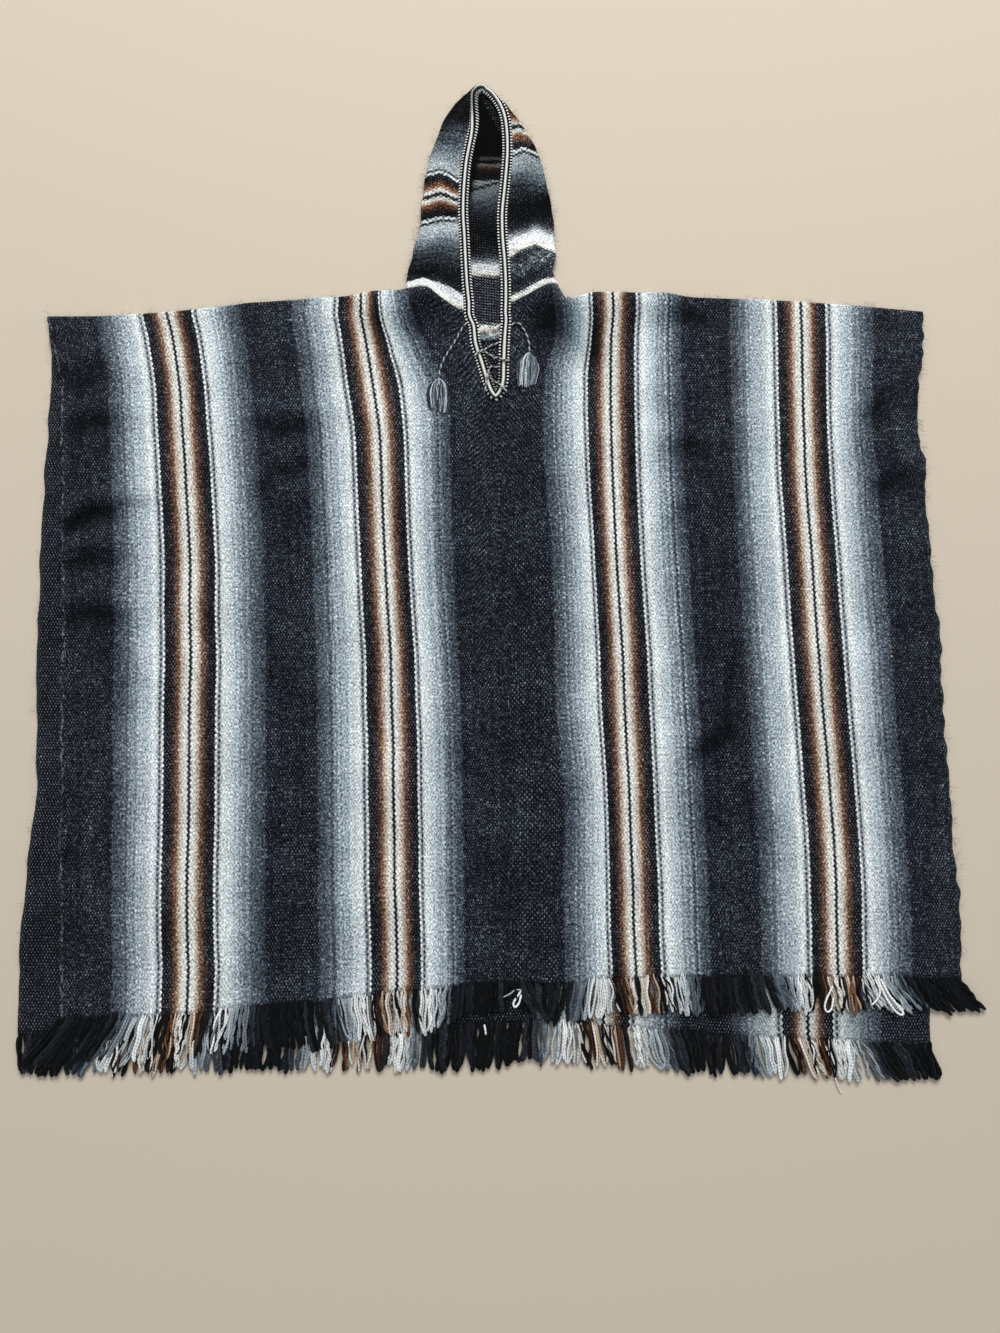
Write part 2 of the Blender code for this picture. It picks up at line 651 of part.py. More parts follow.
def build_braid():
    half, cord = BRAID_WIDTH / 2, BRAID_CORD / 2
    profile = ((-half, 0.0), (half, 0.0), (half, BRAID_EDGE), (cord, BRAID_HEIGHT),
               (-cord, BRAID_HEIGHT), (-half, BRAID_EDGE))
    path = braid_path()
    count, width = len(path), len(profile)
    points, faces = [], []
    for i, (x, y) in enumerate(path):
        (ax, ay), (bx, by) = path[i - 1], path[(i + 1) % count]
        length = math.hypot(bx - ax, by - ay)
        nx, ny = (by - ay) / length, -(bx - ax) / length
        base = LAYER_TOP + SEAM - PEAK_DROP * ease((y - OPENING[-1].y - 0.004) / 0.012)
        points += [(x + nx * across, y + ny * across, base + up) for across, up in profile]
    for i in range(count):
        for k in range(width):
            a, b = i * width + k, i * width + (k + 1) % width
            c, d = (i + 1) % count * width + (k + 1) % width, (i + 1) % count * width + k
            faces.append((d, c, b, a))
    make("braid", points, faces, "ivory")


# ---------------------------------------------------------------- lace and tassels
def build_lace(name, points, steps):
    curve = bpy.data.curves.new(name, "CURVE")
    curve.dimensions = "3D"
    curve.bevel_depth = LACE_RADIUS
    curve.bevel_resolution = 2
    curve.use_fill_caps = True
    spline = curve.splines.new("POLY")
    found = place(route(points, steps))
    spline.points.add(len(found) - 1)
    for point, co in zip(spline.points, found):
        point.co = (*co, 1.0)
    curve.materials.append(material(name, "mixed_yarn"))
    bpy.context.scene.collection.objects.link(bpy.data.objects.new(name, curve))


def build_laces():
    rest = LAYER_TOP + SEAM + LACE_RADIUS
    for name, places in (("lace_left", LEFT_LACE), ("lace_right", RIGHT_LACE)):
        build_lace(name, [(x, y, rest) for x, y in places], 3)
    for name, points in CROSSINGS.items():
        build_lace(name, points, 2)


def add_lock(points, faces, root, sections):
    """A four-sided lock: rings of four points from its root to its tip."""
    ring = root
    for section in sections:
        start = len(points)
        points += section
        new = [start + k for k in range(4)]
        faces += [(ring[k], ring[(k + 1) % 4], new[(k + 1) % 4], new[k]) for k in range(4)]
        ring = new
    faces.append(tuple(ring))


def grid_rim(high, wide):
    """Numbers of the points along the outline of a grid that is counted row by row."""
    index = [[r * (wide + 1) + c for c in range(wide + 1)] for r in range(high + 1)]
    rim = index[0][:-1] + [row[-1] for row in index[:-1]] + index[-1][:0:-1]
    return rim + [row[0] for row in index[:0:-1]]


def comb(name, face, back, lock, colour):
    """A backing with one lock from the middle of each cell of its front face.

    face is a grid of points, rows of it from low to high; back holds rings of points that close
    the backing behind it, each with as many points as the face has along its outline.
    """
    high, wide = len(face) - 1, len(face[0]) - 1
    points = [p for row in face for p in row]
    faces = []
    for r in range(high):
        for c in range(wide):
            low = r * (wide + 1) + c
            cell = (low, low + 1, low + wide + 2, low + wide + 1)
            corners = [points[i] for i in cell]
            root, sections = lock(r, c, corners)
            start = len(points)
            points += root
            inset = [start + k for k in range(4)]
            faces += [(cell[k], cell[(k + 1) % 4], inset[(k + 1) % 4], inset[k]) for k in range(4)]
            add_lock(points, faces, inset, sections)
    ring = grid_rim(high, wide)
    for level in back:
        start = len(points)
        points += level
        new = [start + k for k in range(len(ring))]
        faces += [(ring[k], new[k], new[(k + 1) % len(ring)], ring[(k + 1) % len(ring)])
                  for k in range(len(ring))]
        ring = new
    if len(face) == 2:
        # A long strip closes with a quad for each cell.
        half = len(ring) // 2
        faces += [(ring[k], ring[-1 - k], ring[-2 - k], ring[k + 1]) for k in range(half - 1)]
    else:
        faces.append(tuple(reversed(ring)))
    make(name, points, faces, colour)


def lock_section(centre, width, height):
    """Four corners of a section square to the hem, low left first, seen from the hem's outside."""
    x, y, z = centre
    w, h = width / 2, height / 2
    return [(x - w, y, z - h), (x + w, y, z - h), (x + w, y, z + h), (x - w, y, z + h)]


def along_hem(hem, x):
    """Place on the straight pieces of a hem."""
    i = min(max(bisect.bisect_right([p[0] for p in hem], x) - 1, 0), len(hem) - 2)
    t = (x - hem[i][0]) / (hem[i + 1][0] - hem[i][0])
    return x, mix(hem[i][1], hem[i + 1][1], t), mix(hem[i][2], hem[i + 1][2], t)


def build_fringe(name, column, hem, seed):
    """A strip beside the hem with its locks, which lean and fall a little unevenly."""
    scatter = random.Random(seed)
    left, right = hem[0][0] + SEAM, hem[-1][0] - SEAM
    height = CLOTH - 2 * SEAM
    line = [along_hem(hem, mix(left, right, i / LOCKS)) for i in range(LOCKS + 1)]
    line = [(x, y - SEAM, z + SEAM) for x, y, z in line]
    face = [[(x, y - STRIP, z + up) for x, y, z in line] for up in (0.0, height)]
    back = [line + [(x, y, z + height) for x, y, z in line][::-1]]
    back_right = SIDES[0].back_right

    def lock(_, c, corners):
        x, y, z = (sum(corner[k] for corner in corners) / 4 for k in range(3))
        share = (x - left) / (right - left)
        at = mix(FALLS[0].x, FALLS[-1].x, share)
        lean = smooth(FALLS, "x", "lean", at) + scatter.uniform(-0.0016, 0.0016)
        length = smooth(FALLS, "x", column, at) * scatter.uniform(0.90, 1.08) - STRIP
        drop = z - height / 2 - SEAM if x > back_right + 0.012 else 0.0
        root = lock_section((x, y, z), LOCK_WIDTH, LOCK_HEIGHT)
        bend = scatter.uniform(-0.0008, 0.0008)
        sections = []
        for t in (0.5, 1.0):
            width = LOCK_WIDTH * mix(1.0, LOCK_TAPER, t)
            centre = (x + lean * t * t + bend * (1 - t), y - length * t, z - drop * t)
            sections.append(lock_section(centre, width, LOCK_HEIGHT * mix(1.0, 0.8, t)))
        return root, sections

    comb(name, face, back, lock, "charcoal")


def build_tassel(name, tassel):
    """A bound head on the end of the lace, with strands that swell and close to a point."""
    wide, high = TASSEL_STRANDS
    turn = math.radians(tassel.heading)
    ahead = (math.cos(turn), math.sin(turn))
    right = (-ahead[1], ahead[0])
    rest = LAYER_TOP + SEAM

    def at(along, across, up):
        return (tassel.x + ahead[0] * along + right[0] * across,
                tassel.y + ahead[1] * along + right[1] * across, rest + up)

    root = tassel.width * TASSEL_ROOT
    face = [[at(tassel.head, root * (c / wide - 0.5), TASSEL_RISE * (0.05 + TASSEL_FILL * r / high))
             for c in range(wide + 1)] for r in range(high + 1)]
    shape = [(root * (c / wide - 0.5), r / high) for r in range(high + 1) for c in range(wide + 1)]
    back = []
    for level in TASSEL_HEAD:
        back.append([
            at(tassel.head * level.along, shape[i][0] * level.width,
               TASSEL_RISE * (level.lowest + level.tall * shape[i][1]))
            for i in grid_rim(high, wide)
        ])

    def lock(r, c, corners):
        across = (c + 0.5) / wide - 0.5
        up = 0.06 + TASSEL_FILL * (r + 0.5) / high
        spread, thick = root / wide, TASSEL_RISE * TASSEL_FILL / high
        tail = 1.0 - 0.5 * across**2 - 0.06 * ((c + r) % 2)

        def section(along, width, size):
            half, tall = size * spread / 2, thick * size / 2
            middle_x = width * across
            return [at(along, middle_x - half, TASSEL_RISE * up - tall),
                    at(along, middle_x + half, TASSEL_RISE * up - tall),
                    at(along, middle_x + half, TASSEL_RISE * up + tall),
                    at(along, middle_x - half, TASSEL_RISE * up + tall)]

        start = tassel.head
        sections = [section(start + tassel.length * tail * part.at, tassel.width * part.width, part.size)
                    for part in STRAND]
        return section(start, root, 0.80), sections

    comb(name, face, back, lock, "mixed_yarn")


def main():
    for obj in list(bpy.data.objects):
        bpy.data.objects.remove(obj)
    back_hem = build_back()
    front_hem = build_front()
    build_hood_back()
    build_hood_side("left")
    build_hood_side("right")
    build_braid()
    build_laces()
    build_fringe("back_fringe", "back", back_hem, seed=11)
    build_fringe("front_fringe", "front", front_hem, seed=23)
    for name, tassel in TASSELS.items():
        build_tassel(name, tassel)


main()
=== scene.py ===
"""Hooded wool poncho laid flat, dressed over its CAD frame.

Metres, +Z up. The tables are in millimetres, in the garment's own coordinates, +Y from the hem to the
tip of the hood; mm() makes metres of them and place() turns them into the frame's coordinates.
"""

import json
import math
import random

import bpy
import numpy as np
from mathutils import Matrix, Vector

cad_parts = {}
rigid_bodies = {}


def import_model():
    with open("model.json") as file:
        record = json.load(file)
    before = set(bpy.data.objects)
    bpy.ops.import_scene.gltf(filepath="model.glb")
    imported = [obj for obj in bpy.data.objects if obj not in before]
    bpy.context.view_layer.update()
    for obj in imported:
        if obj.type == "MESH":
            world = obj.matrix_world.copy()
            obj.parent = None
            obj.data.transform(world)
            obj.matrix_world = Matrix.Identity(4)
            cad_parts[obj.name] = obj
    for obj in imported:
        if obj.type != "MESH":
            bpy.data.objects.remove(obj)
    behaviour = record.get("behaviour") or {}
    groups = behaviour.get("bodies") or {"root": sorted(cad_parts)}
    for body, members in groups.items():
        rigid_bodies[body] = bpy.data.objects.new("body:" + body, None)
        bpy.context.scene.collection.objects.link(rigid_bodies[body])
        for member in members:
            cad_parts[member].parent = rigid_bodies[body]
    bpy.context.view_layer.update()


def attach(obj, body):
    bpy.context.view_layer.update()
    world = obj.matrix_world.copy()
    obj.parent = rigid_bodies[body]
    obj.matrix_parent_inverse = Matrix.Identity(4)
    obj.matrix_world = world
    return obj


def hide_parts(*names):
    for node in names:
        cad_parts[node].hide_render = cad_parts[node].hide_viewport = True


for leftover in list(bpy.data.objects):
    bpy.data.objects.remove(leftover, do_unlink=True)
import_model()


def mm(*values, keep=()):
    """Rows of millimetres in metres. The places in keep hold something else and stay."""
    return tuple(mm(*value, keep=keep) if isinstance(value, tuple) else value if k in keep else value / 1000
                 for k, value in enumerate(values))


# ---------------------------------------------------------------- sizes shared with the CAD
CENTRE = (0.01564, 0.33694)
CLOTH, SEAM, ROLL, TUCK = 0.003, 0.0003, 0.002, 0.002
LAYER_TOP = 2 * CLOTH + SEAM
FOLD_RADIUS = (LAYER_TOP + ROLL) / 2
FOLD_GAP = FOLD_RADIUS + TUCK  # from a fold's line to its tuck on the floor
FOLD_ANGLES = range(72, -91, -18)
WALL = 0.0026  # thickness of the modelled cloth
FLOOR, KNEE = -0.0006, 0.0008  # the stage's height, and how softly a fold leaves the flat cloth

BRAID_WIDTH, BRAID_HEIGHT, BRAID_EDGE = 0.0145, 0.0036, 0.0017
CORD_HALF = 0.0021  # half width of the braid's cord
STITCH, STITCH_SLANT, CHAIN, CHAIN_SLANT = 0.0044, 240.0, 0.0027, 900.0  # lengths and slants of its patterns
TIP_RADIUS, TIP_DROP, PEAK_RISE, PEAK_DROP = 0.0052, 0.0062, 0.0050, 0.0028
BRAID_REST, REST_EDGE = 0.0088, 0.012  # how wide the braid lies on the hood, and how far that shows
ROLLED_REST, ROLLED_EDGE = 0.0042, 0.006  # the same where it has rolled inwards
PUFF, SEAM_SINK, ROLL_WAY, NECK_HALF = 0.0033, 0.0009, 0.035, 0.105
PAST_BACK = (0.012, 0.020)  # where the front sinks past the back's edge, and over what width
LACE_RADIUS, LACE_YARN, LACE_STEP, KNOT_YARN = 0.0014, 0.00128, 0.0008, 0.0010

# y, back left, front left, back right, front right
SIDES = mm(
    (-310, -581, -526, 564, 609), (-180, -584, -533, 568, 611), (-70, -582, -540, 572, 611),
    (20, -577, -544, 576, 608), (160, -585, -551, 580, 606), (300, -590, -559, 584, 603),
    (385, -591, -564, 586, 597), (450, -592, -568, 588, 602), (510, -592, -571, 587, 595),
    (560, -591, -574, 588, 596), (600, -592, -585, 596, 604), (640, -598, -595, 600, 608),
    (680, -603, -602, 600, 608))
BACK_LEFT, FRONT_LEFT, BACK_RIGHT, FRONT_RIGHT = 1, 2, 3, 4
# The selvages' waves: size, seed, longest and shortest.
SIDE_WAVES = {BACK_LEFT: (0.0012, 41, 0.14, 0.03), FRONT_LEFT: (0.0011, 5, 0.16, 0.035),
              BACK_RIGHT: (0.0010, 43, 0.12, 0.03), FRONT_RIGHT: (0.0013, 9, 0.12, 0.030)}
SCALLOP = (0.0014, 59, 0.034, 0.015)
LEFT_SHOULDER = mm(
    (-602, 663), (-530, 664), (-470, 668), (-400, 675), (-320, 685), (-215, 694), (-109, 704))
RIGHT_SHOULDER = mm((113.5, 694), (160, 702), (215, 704), (300, 698), (400, 695), (500, 689), (608, 680))
LEFT_NECK = mm((-103, 703.5), (-80, 706), (-62, 692), (-45, 681), (-31, 676.5), (-22.2, 675))
RIGHT_NECK = mm(
    (28.5, 685), (37.3, 688.5), (48, 693.5), (63, 700.5), (80, 709), (95.8, 712.5), (102, 706.5))
BACK_NECK = mm((-100, 694), (-70, 666), (-35, 645), (5, 637), (45, 645), (78, 664), (102, 682))
TOP_EDGE = {
    "left": tuple((x, y - FOLD_RADIUS) for x, y in LEFT_SHOULDER) + LEFT_NECK,
    "right": RIGHT_NECK + tuple((x, y - FOLD_RADIUS) for x, y in RIGHT_SHOULDER),
}
# x, front, back
HEMS = mm(
    (-590, -270, -284), (-470, -265, -283), (-370, -262, -281), (-320, -254, -280), (-240, -251, -278),
    (-160, -240, -277), (-60, -231, -276), (30, -223, -274), (90, -225, -272), (150, -219, -279),
    (300, -218, -290), (400, -218, -296), (500, -218, -302), (612, -223, -307))
HEM_WAVES = {"front": (1, 0.0012, 17), "back": (2, 0.0010, 47)}  # column of HEMS, size and seed
# y, left, right
HOOD = mm(
    (690, -108, 112), (712, -107.5, 100.5), (726, -106, 96), (742, -103.5, 94.5), (762, -100, 97.5),
    (785, -96, 96.5), (815, -91, 95), (850, -88.5, 91), (880, -84, 84), (912, -76.5, 74.5), (943, -66, 60),
    (960, -59.7, 51.2), (971.7, -54.5, 42.5), (981.7, -48.4, 35.2), (991, -41.2, 28.5),
    (996.5, -36.2, 23.2), (1004, -29.8, 15), (1013, -21, 6), (1020, -13, -1))
HOOD_TOP = {"left": 1.0165, "right": 1.0000, "back": 1.016}
HOOD_ENDS = {"left": (LEFT_NECK[0][0], LEFT_NECK[-1][0]), "right": (RIGHT_NECK[-2][0], RIGHT_NECK[0][0])}
HOOD_TOP_STRIPE = {"left": -0.100, "right": -0.027, "back": -0.027}
OPENING = mm(
    (557.5, 9.6, 20), (565, 6.2, 23.2), (575, 3, 25.3), (586, -0.3, 25.6), (602, -5, 26),
    (626, -12.7, 26.8), (640, -14.4, 27.6), (650, -15.2, 28.4), (656, -16.8, 28.8), (663, -20.3, 29.2),
    (670, -22, 28.3), (685, -22.2, 28.7), (713, -25, 28.8), (745, -27, 27.5), (785, -29, 24.3),
    (821, -31, 23.8), (858, -30, 27.2), (897, -27, 30.4), (917, -23.7, 31.3), (943, -19.4, 30.6),
    (965, -18.8, 28.1), (981, -19.2, 23.4), (995, -19.5, 16.3), (1006, -18.6, 8.3), (1013, -14.3, 1))
CORD_ROLLS = {"left": (0.925, 0.970), "right": (0.978, 1.004)}  # y where the outer border tucks under
COLUMN_OF = {"left": 1, "right": 2}
SLIT_FOOT = (0.0148, 0.5575)
HEM_MIDDLE, HEM_MIDDLE_Y = 0.022, -0.223

LEFT_LACE = mm(
    (-24.5, 656.5), (-30, 651), (-41, 630), (-55, 606), (-60.5, 592), (-62.5, 581), (-62.3, 574.5))
RIGHT_LACE = mm((36, 653.5), (40.5, 656), (47.5, 656), (56, 643), (60.8, 627), (61, 616), (60.5, 612.5))
# In millimetres: the middle of a yarn that lies over the braid, and of one that runs under it.
OVER, UNDER = 1000 * (LAYER_TOP + BRAID_HEIGHT + 2 * SEAM + LACE_RADIUS), 4.8
CROSSINGS = {
    "upper": mm(
        (-15, 606.2, OVER), (-10.5, 610.8, OVER), (-6.2, 613.7, 11.3), (-3, 616.6, 8.5), (0.8, 619.4, 6.2),
        (5.2, 623.5, UNDER), (11.2, 626.2, UNDER), (21.5, 630.6, UNDER)),
    "middle": mm(
        (-7.5, 622.8, UNDER), (-3.5, 619, UNDER), (0.3, 616.5, UNDER), (3.5, 613, 5.4), (8.4, 610.7, 6.2),
        (10.6, 607.9, 7.2), (13.9, 605.6, 9), (20, 604.8, 11.5), (24.1, 602.1, OVER), (34, 600.2, OVER)),
    "lower": mm(
        (-0.4, 557.8, 8.6), (1.2, 562, 9.4), (1.5, 568.3, 11.2), (2.4, 573.4, OVER), (4, 579, OVER),
        (4.4, 584, 10), (4.8, 589, 7), (6.2, 592.5, UNDER), (9, 594.8, UNDER), (13.4, 594.6, UNDER),
        (22.5, 593.4, UNDER)),
    "foot": mm(
        (5, 578.7, 10), (6.9, 577.9, 8.5), (9.6, 574.8, 7), (13.4, 572.8, 6.5), (16.6, 570.3, 7.5),
        (20.4, 566.9, 10.8), (23.6, 562.6, OVER), (26.8, 559.6, OVER), (30.6, 555.6, 10)),
}
# x, y, heading, head, width, length
TASSELS = {"left": mm(-62, 573.5, -90, 14, 34.5, 34, keep=(2,)),
           "right": mm(60.3, 612, -94, 14, 29, 36, keep=(2,))}
TASSEL_RISE, STRANDS = 0.0085, 130
# Locks of a tassel's strands: place across, spread, reach of the ends, height, share of the strands.
LOCKS = {
    "left": ((-0.66, 0.20, 0.90, 0.95, 0.36), (-0.12, 0.12, 0.62, 0.50, 0.12), (0.46, 0.28, 1.0, 1.0, 0.52)),
    "right": ((-0.58, 0.26, 0.97, 1.0, 0.38), (0.00, 0.18, 1.0, 0.85, 0.24), (0.56, 0.26, 0.92, 1.0, 0.38)),
}

# ---------------------------------------------------------------- the weave
YARN = 0.00195  # width of one warp yarn's column
PICK = 0.00365  # length of one float along the warp
CELL = (1.15, 1.05)  # half sizes of a float's cell, in columns and picks
GAP = (0.46, 0.76)  # where the gap between the cells starts and is full
PLY = 0.0042  # length of one turn of a fringe's or lace's plies
BUMP, BRAID_BUMP = 0.0006, 0.0005  # depths
EDGE = 297  # columns from the middle of the cloth to its selvages
BAND, BETWEEN = 67, 146  # columns: bands are centred at BETWEEN - BAND and BETWEEN + BAND
MIDDLE = 29  # half width of the middle charcoal stripe, in columns
CLOTH_LENGTH = {"front": 0.93, "back": 0.95}  # along the warp, from the shoulder to the hem
HALF_COLUMNS, UPPER_ROWS, LOWER_ROWS = 132, 24, 118  # quads of one half of the front
BACK_COLUMNS, BACK_ROWS, HOOD_COLUMNS, HOOD_BACK_COLUMNS, HOOD_ROWS = 150, 115, 35, 48, 95
INNER, OUTER = BETWEEN - BAND, BETWEEN + BAND
FRONT_KNOTS = (-EDGE, -OUTER, -INNER, -MIDDLE, 0, MIDDLE, INNER, OUTER, EDGE)
BACK_KNOTS = (-EDGE, -OUTER, -INNER, 0, INNER, OUTER, EDGE)

# y, then X of the four bands' middles on the front
BANDS = mm(
    (-209, -371, -109, 193, 450), (-153, -375, -111, 191, 451), (-97, -377, -114, 191, 452),
    (-40, -378, -115, 189, 452), (17, -380, -117, 188, 450), (75, -382, -118, 186, 448),
    (134, -384, -121, 184, 445), (193, -385, -123, 183, 443), (254, -389, -128, 180, 441),
    (315, -391, -132, 177, 440), (377, -396, -136, 175, 438), (440, -402, -139, 173, 436),
    (503, -409, -143, 172, 436), (567, -416, -153, 172, 437), (632, -428, -164, 174, 439),
    (666, -437, -171, 177, 439))
MIDDLE_LEFT = mm(
    (-200, -24), (-122, -25.5), (4.5, -27.5), (134, -31), (268, -39), (360, -44), (440, -46), (520, -47.5),
    (560, -48.5), (589, -60.5), (610, -73), (632, -82.5), (647, -91), (661, -97), (690, -105))
MIDDLE_RIGHT = mm(
    (-122, 102.5), (4.5, 104.5), (134, 94.3), (268, 92.6), (364, 89), (433.5, 83), (490, 80.6), (530, 79.5),
    (560, 81), (590, 83), (610, 90), (630, 96), (660, 98), (690, 94))
# the back: y, then X of the bands' middles and of the cloth's middle
BACK_BANDS = mm((-278, -414, -152, -2, 151, 410), (666, -437, -171, 3, 177, 439))

# Folds: middle, heading in degrees from +X, half length, half width, height.
FRONT_FOLDS = mm(
    # broad ridges
    (-470, 440, -8, 150, 45, 1.6), (-300, 600, -62, 110, 30, 2.6), (-170, 520, -75, 160, 34, 2.4),
    (150, 530, -100, 160, 34, 2.4), (330, 610, -118, 110, 34, 2.4), (320, 130, 35, 180, 50, 1.8),
    (-140, 60, -30, 200, 60, 1.8), (-420, -80, 12, 180, 50, 1.8), (480, -110, -16, 170, 50, 2),
    (80, -120, 80, 120, 50, 1.6),
    # the crease that storage left across the chest
    (-525, 530, 2, 55, 13, 4.6), (-430, 524, 0, 80, 10, 1.4), (-275, 532, 2, 50, 13, 4.2),
    (-140, 524, -1, 100, 10, 1.2), (272, 500, -4, 55, 14, 3), (400, 488, -8, 80, 10, 1.2),
    # the left edge's folds
    (-555, 605, 8, 50, 18, 4.2), (-530, 397, 16, 50, 13, 7.4), (-445, 415, 6, 50, 11, 2.6),
    (-524, 339, 4, 48, 12, 4.6), (-512, 266, 0, 60, 14, 5), (-520, 90, 5, 65, 18, 4),
    (-538, -50, 6, 45, 16, 3.6),
    # across the second grey
    (-262, 467, 12, 38, 11, 3.6), (-297, 438, 55, 28, 9, 2.6),
    # the right side
    (290, 96, 39, 50, 11, 5.2), (330, 175, 84, 60, 8, 2.2), (272, 408, 35, 36, 12, 2.8),
    (262, 300, 25, 48, 12, 2.2), (540, 560, 30, 45, 14, 5), (552, 452, 8, 50, 14, 5.2),
    (560, 345, 8, 60, 20, 2.6), (565, 190, -8, 60, 22, 2.6),
    # near the hem
    (-250, -12, 10, 60, 20, 2.8), (118, -10, 86, 90, 12, 2.4), (-260, -165, 5, 70, 16, 3.2),
    (350, -150, -10, 90, 18, 2.6),
    # both sides of the neck
    (-120, 690, 8, 60, 24, 8), (-75, 692, -25, 35, 14, 4.4), (125, 692, -4, 60, 24, 8),
    (70, 694, 22, 35, 14, 4.4), (-210, 650, -62, 60, 18, 3.4), (230, 690, 0, 50, 16, 5.4),
    keep=(2,),
)
# Painted shade in and beside the creases and round the neck, in the same columns; the last is how much.
FRONT_SHADES = mm(
    (-555, 580, 4, 40, 18, 0.45), (-532, 508, 3, 36, 12, 0.7), (-530, 378, 17, 38, 10, 1),
    (-468, 397, 8, 28, 7, 0.45), (-522, 322, 4, 38, 11, 0.6), (-512, 245, 0, 46, 13, 0.65),
    (-545, 560, 0, 18, 12, 0.3), (-545, -70, 4, 20, 13, 0.55), (-275, 508, 2, 44, 12, 0.7),
    (-258, 448, 8, 30, 10, 0.5), (-297, 424, 50, 16, 8, 0.45), (-118, 660, 20, 50, 26, 0.58),
    (-170, 655, -62, 45, 12, 0.5), (112, 655, -25, 45, 28, 1), (172, 655, 88, 60, 22, 0.4),
    (270, 668, 0, 45, 13, 0.85), (270, 478, -2, 46, 14, 0.4), (262, 386, 35, 24, 11, 0.45),
    (296, 76, 39, 40, 10, 0.75), (322, 160, 84, 60, 6, 0.35), (538, 540, 40, 26, 14, 0.5),
    (548, 432, 6, 28, 12, 0.55), (130, 636, -50, 36, 20, 0.55),
    keep=(2, 5))
NECK_CALM = (0.002, 0.596, 0.088, 0.078)  # middle and half sizes of the flat place round the slit
HOOD_FOLDS = mm(
    (74, 757, -8, 40, 15, 5.2), (82, 734, 12, 34, 7, -3.6), (62, 714, 28, 40, 9, 3),
    (-86, 738, 6, 32, 15, 3.4), (-78, 713, -14, 40, 9, 4.6), (-60, 800, 12, 40, 14, -1.6),
    (-66, 880, 70, 50, 14, 1.8), (60, 840, -75, 60, 15, 2), (52, 920, -60, 40, 12, 1.8),
    (-46, 950, 65, 30, 10, 1.6),
    keep=(2,))
# Painted shade on the hood's sides, in the same columns; the last is how much, and a negative one lightens
# the cloth and shows more of the weft's dots.
HOOD_SHADES = mm(
    (58, 893, 4, 50, 26, 0.85), (30, 972, -50, 40, 14, 0.55), (-60, 880, 10, 45, 12, 0.25),
    (-70, 812, 6, 50, 24, 0.45), (-46, 962, 50, 44, 20, 0.55), (-70, 758, 4, 50, 18, 0.6),
    (62, 820, 0, 50, 20, 0.6), (66, 744, 8, 40, 13, -0.75), (50, 720, 24, 34, 6, 0.4),
    (-74, 726, -12, 34, 6, 0.35),
    keep=(2, 5))
BACK_HOOD_FOLDS = mm(
    (0, 700, 10, 30, 12, 1.6), (4, 760, -15, 30, 12, 1.2), (0, 850, 30, 30, 14, 1.2),
    keep=(2,))
# x, y, z and thickness along the rolls of the neck seam, and the stripe that each shows
NECK_SEAMS = {
    "left": mm(
        (-10.5, 644, 4.4, 3), (-8, 646.2, 5.2, 4.4), (-4.5, 648, 5.6, 5.2), (0, 648.4, 5.6, 5.4),
        (3.5, 648.4, 5.2, 5), (5.4, 647.8, 4.4, 3)),
    "right": mm(
        (8, 649.2, 4.4, 1.8), (10.2, 649.4, 5.2, 3.1), (13.5, 649.2, 5.2, 2.7), (17, 651, 5.2, 3.1),
        (20.2, 654, 5, 2.6), (22.5, 657.6, 4.4, 1.6)),
    "lower": mm(
        (-12, 638.5, 4, 2.6), (-6, 637.4, 4.4, 4), (-1, 636.6, 4.6, 4.4), (3.5, 636.2, 4, 2.2),
        (8, 636.4, 4.4, 3.4), (11.5, 636.8, 4, 2.4), (15, 637.4, 4.6, 3.8), (21.5, 639.5, 4, 2.6)),
}
NECK_SEAM_STRIPES = {"left": 0.1205, "right": 0.1205, "lower": 0.0470}

# Where the hood's stripes run: a distance from the middle of its band, and places on that line.
HOOD_GUIDES = {
    "left": mm(
        (-83, (-70, 954), (-46, 956), (-25, 949)), (-59, (-99.2, 905.2), (-64, 910.1), (-31.5, 902.8)),
        (-32, (-82, 878.6), (-63.1, 883.4), (-37.7, 871.5)),
        (0, (-85.9, 841.4), (-62.8, 846.9), (-37.5, 839.6)),
        (33, (-89.6, 800.7), (-63.2, 807.7), (-39.4, 808.7)),
        (60, (-94.9, 770.7), (-62.9, 772.5), (-35, 769.8)),
        (82, (-97.4, 746.9), (-62.7, 747.2), (-30.7, 743)),
        (95, (-101.2, 717.5), (-86, 723.5), (-61, 715), (-27.7, 702)),
        (113, (-101.2, 714.3), (-86, 720.3), (-61, 711.7), (-27.7, 698.7)),
        (125, (-106.6, 704.4), (-78.9, 703.1), (-60.9, 690.1), (-26.2, 671.3))),
    "right": mm(
        (-28, (30.7, 999.4), (49.2, 993.4)), (-19.5, (30.7, 985.4), (56.3, 981)),
        (-8, (36.4, 962.2), (56.2, 959.3)), (0, (36.3, 951.8), (46.9, 954.2), (55.4, 949.7)),
        (33, (37.3, 909), (55.2, 911.9), (73.3, 906)), (47, (36.2, 883.7), (77.2, 882.6)),
        (80, (36.2, 860.8), (86.9, 858.3)), (110, (33.9, 783.9), (54.8, 791), (69.7, 797.7), (92.6, 788.9)),
        (125, (33.8, 753.7), (54.8, 765.1), (69.6, 771.9), (95.6, 759.9)),
        (150, (37.3, 696.3), (55.4, 703.8), (76.3, 717.3), (93, 721.9)),
        (157, (37.3, 688.9), (55.4, 696.5), (76.2, 709.9), (92.9, 714.5))),
    "back": mm(
        (-28, (0, 914)), (-6, (0, 908.1)), (0, (0, 900.9)), (10, (0, 891.7)), (19.5, (0, 884)),
        (28.5, (0, 871)), (33, (-18.7, 854.8), (19.4, 870.4)), (62, (0, 836.8)), (80, (0, 818.6)),
        (110, (0, 748.7)), (125, (0, 728.6)), (150, (0, 654.8)), (157, (0, 637.3))),
}
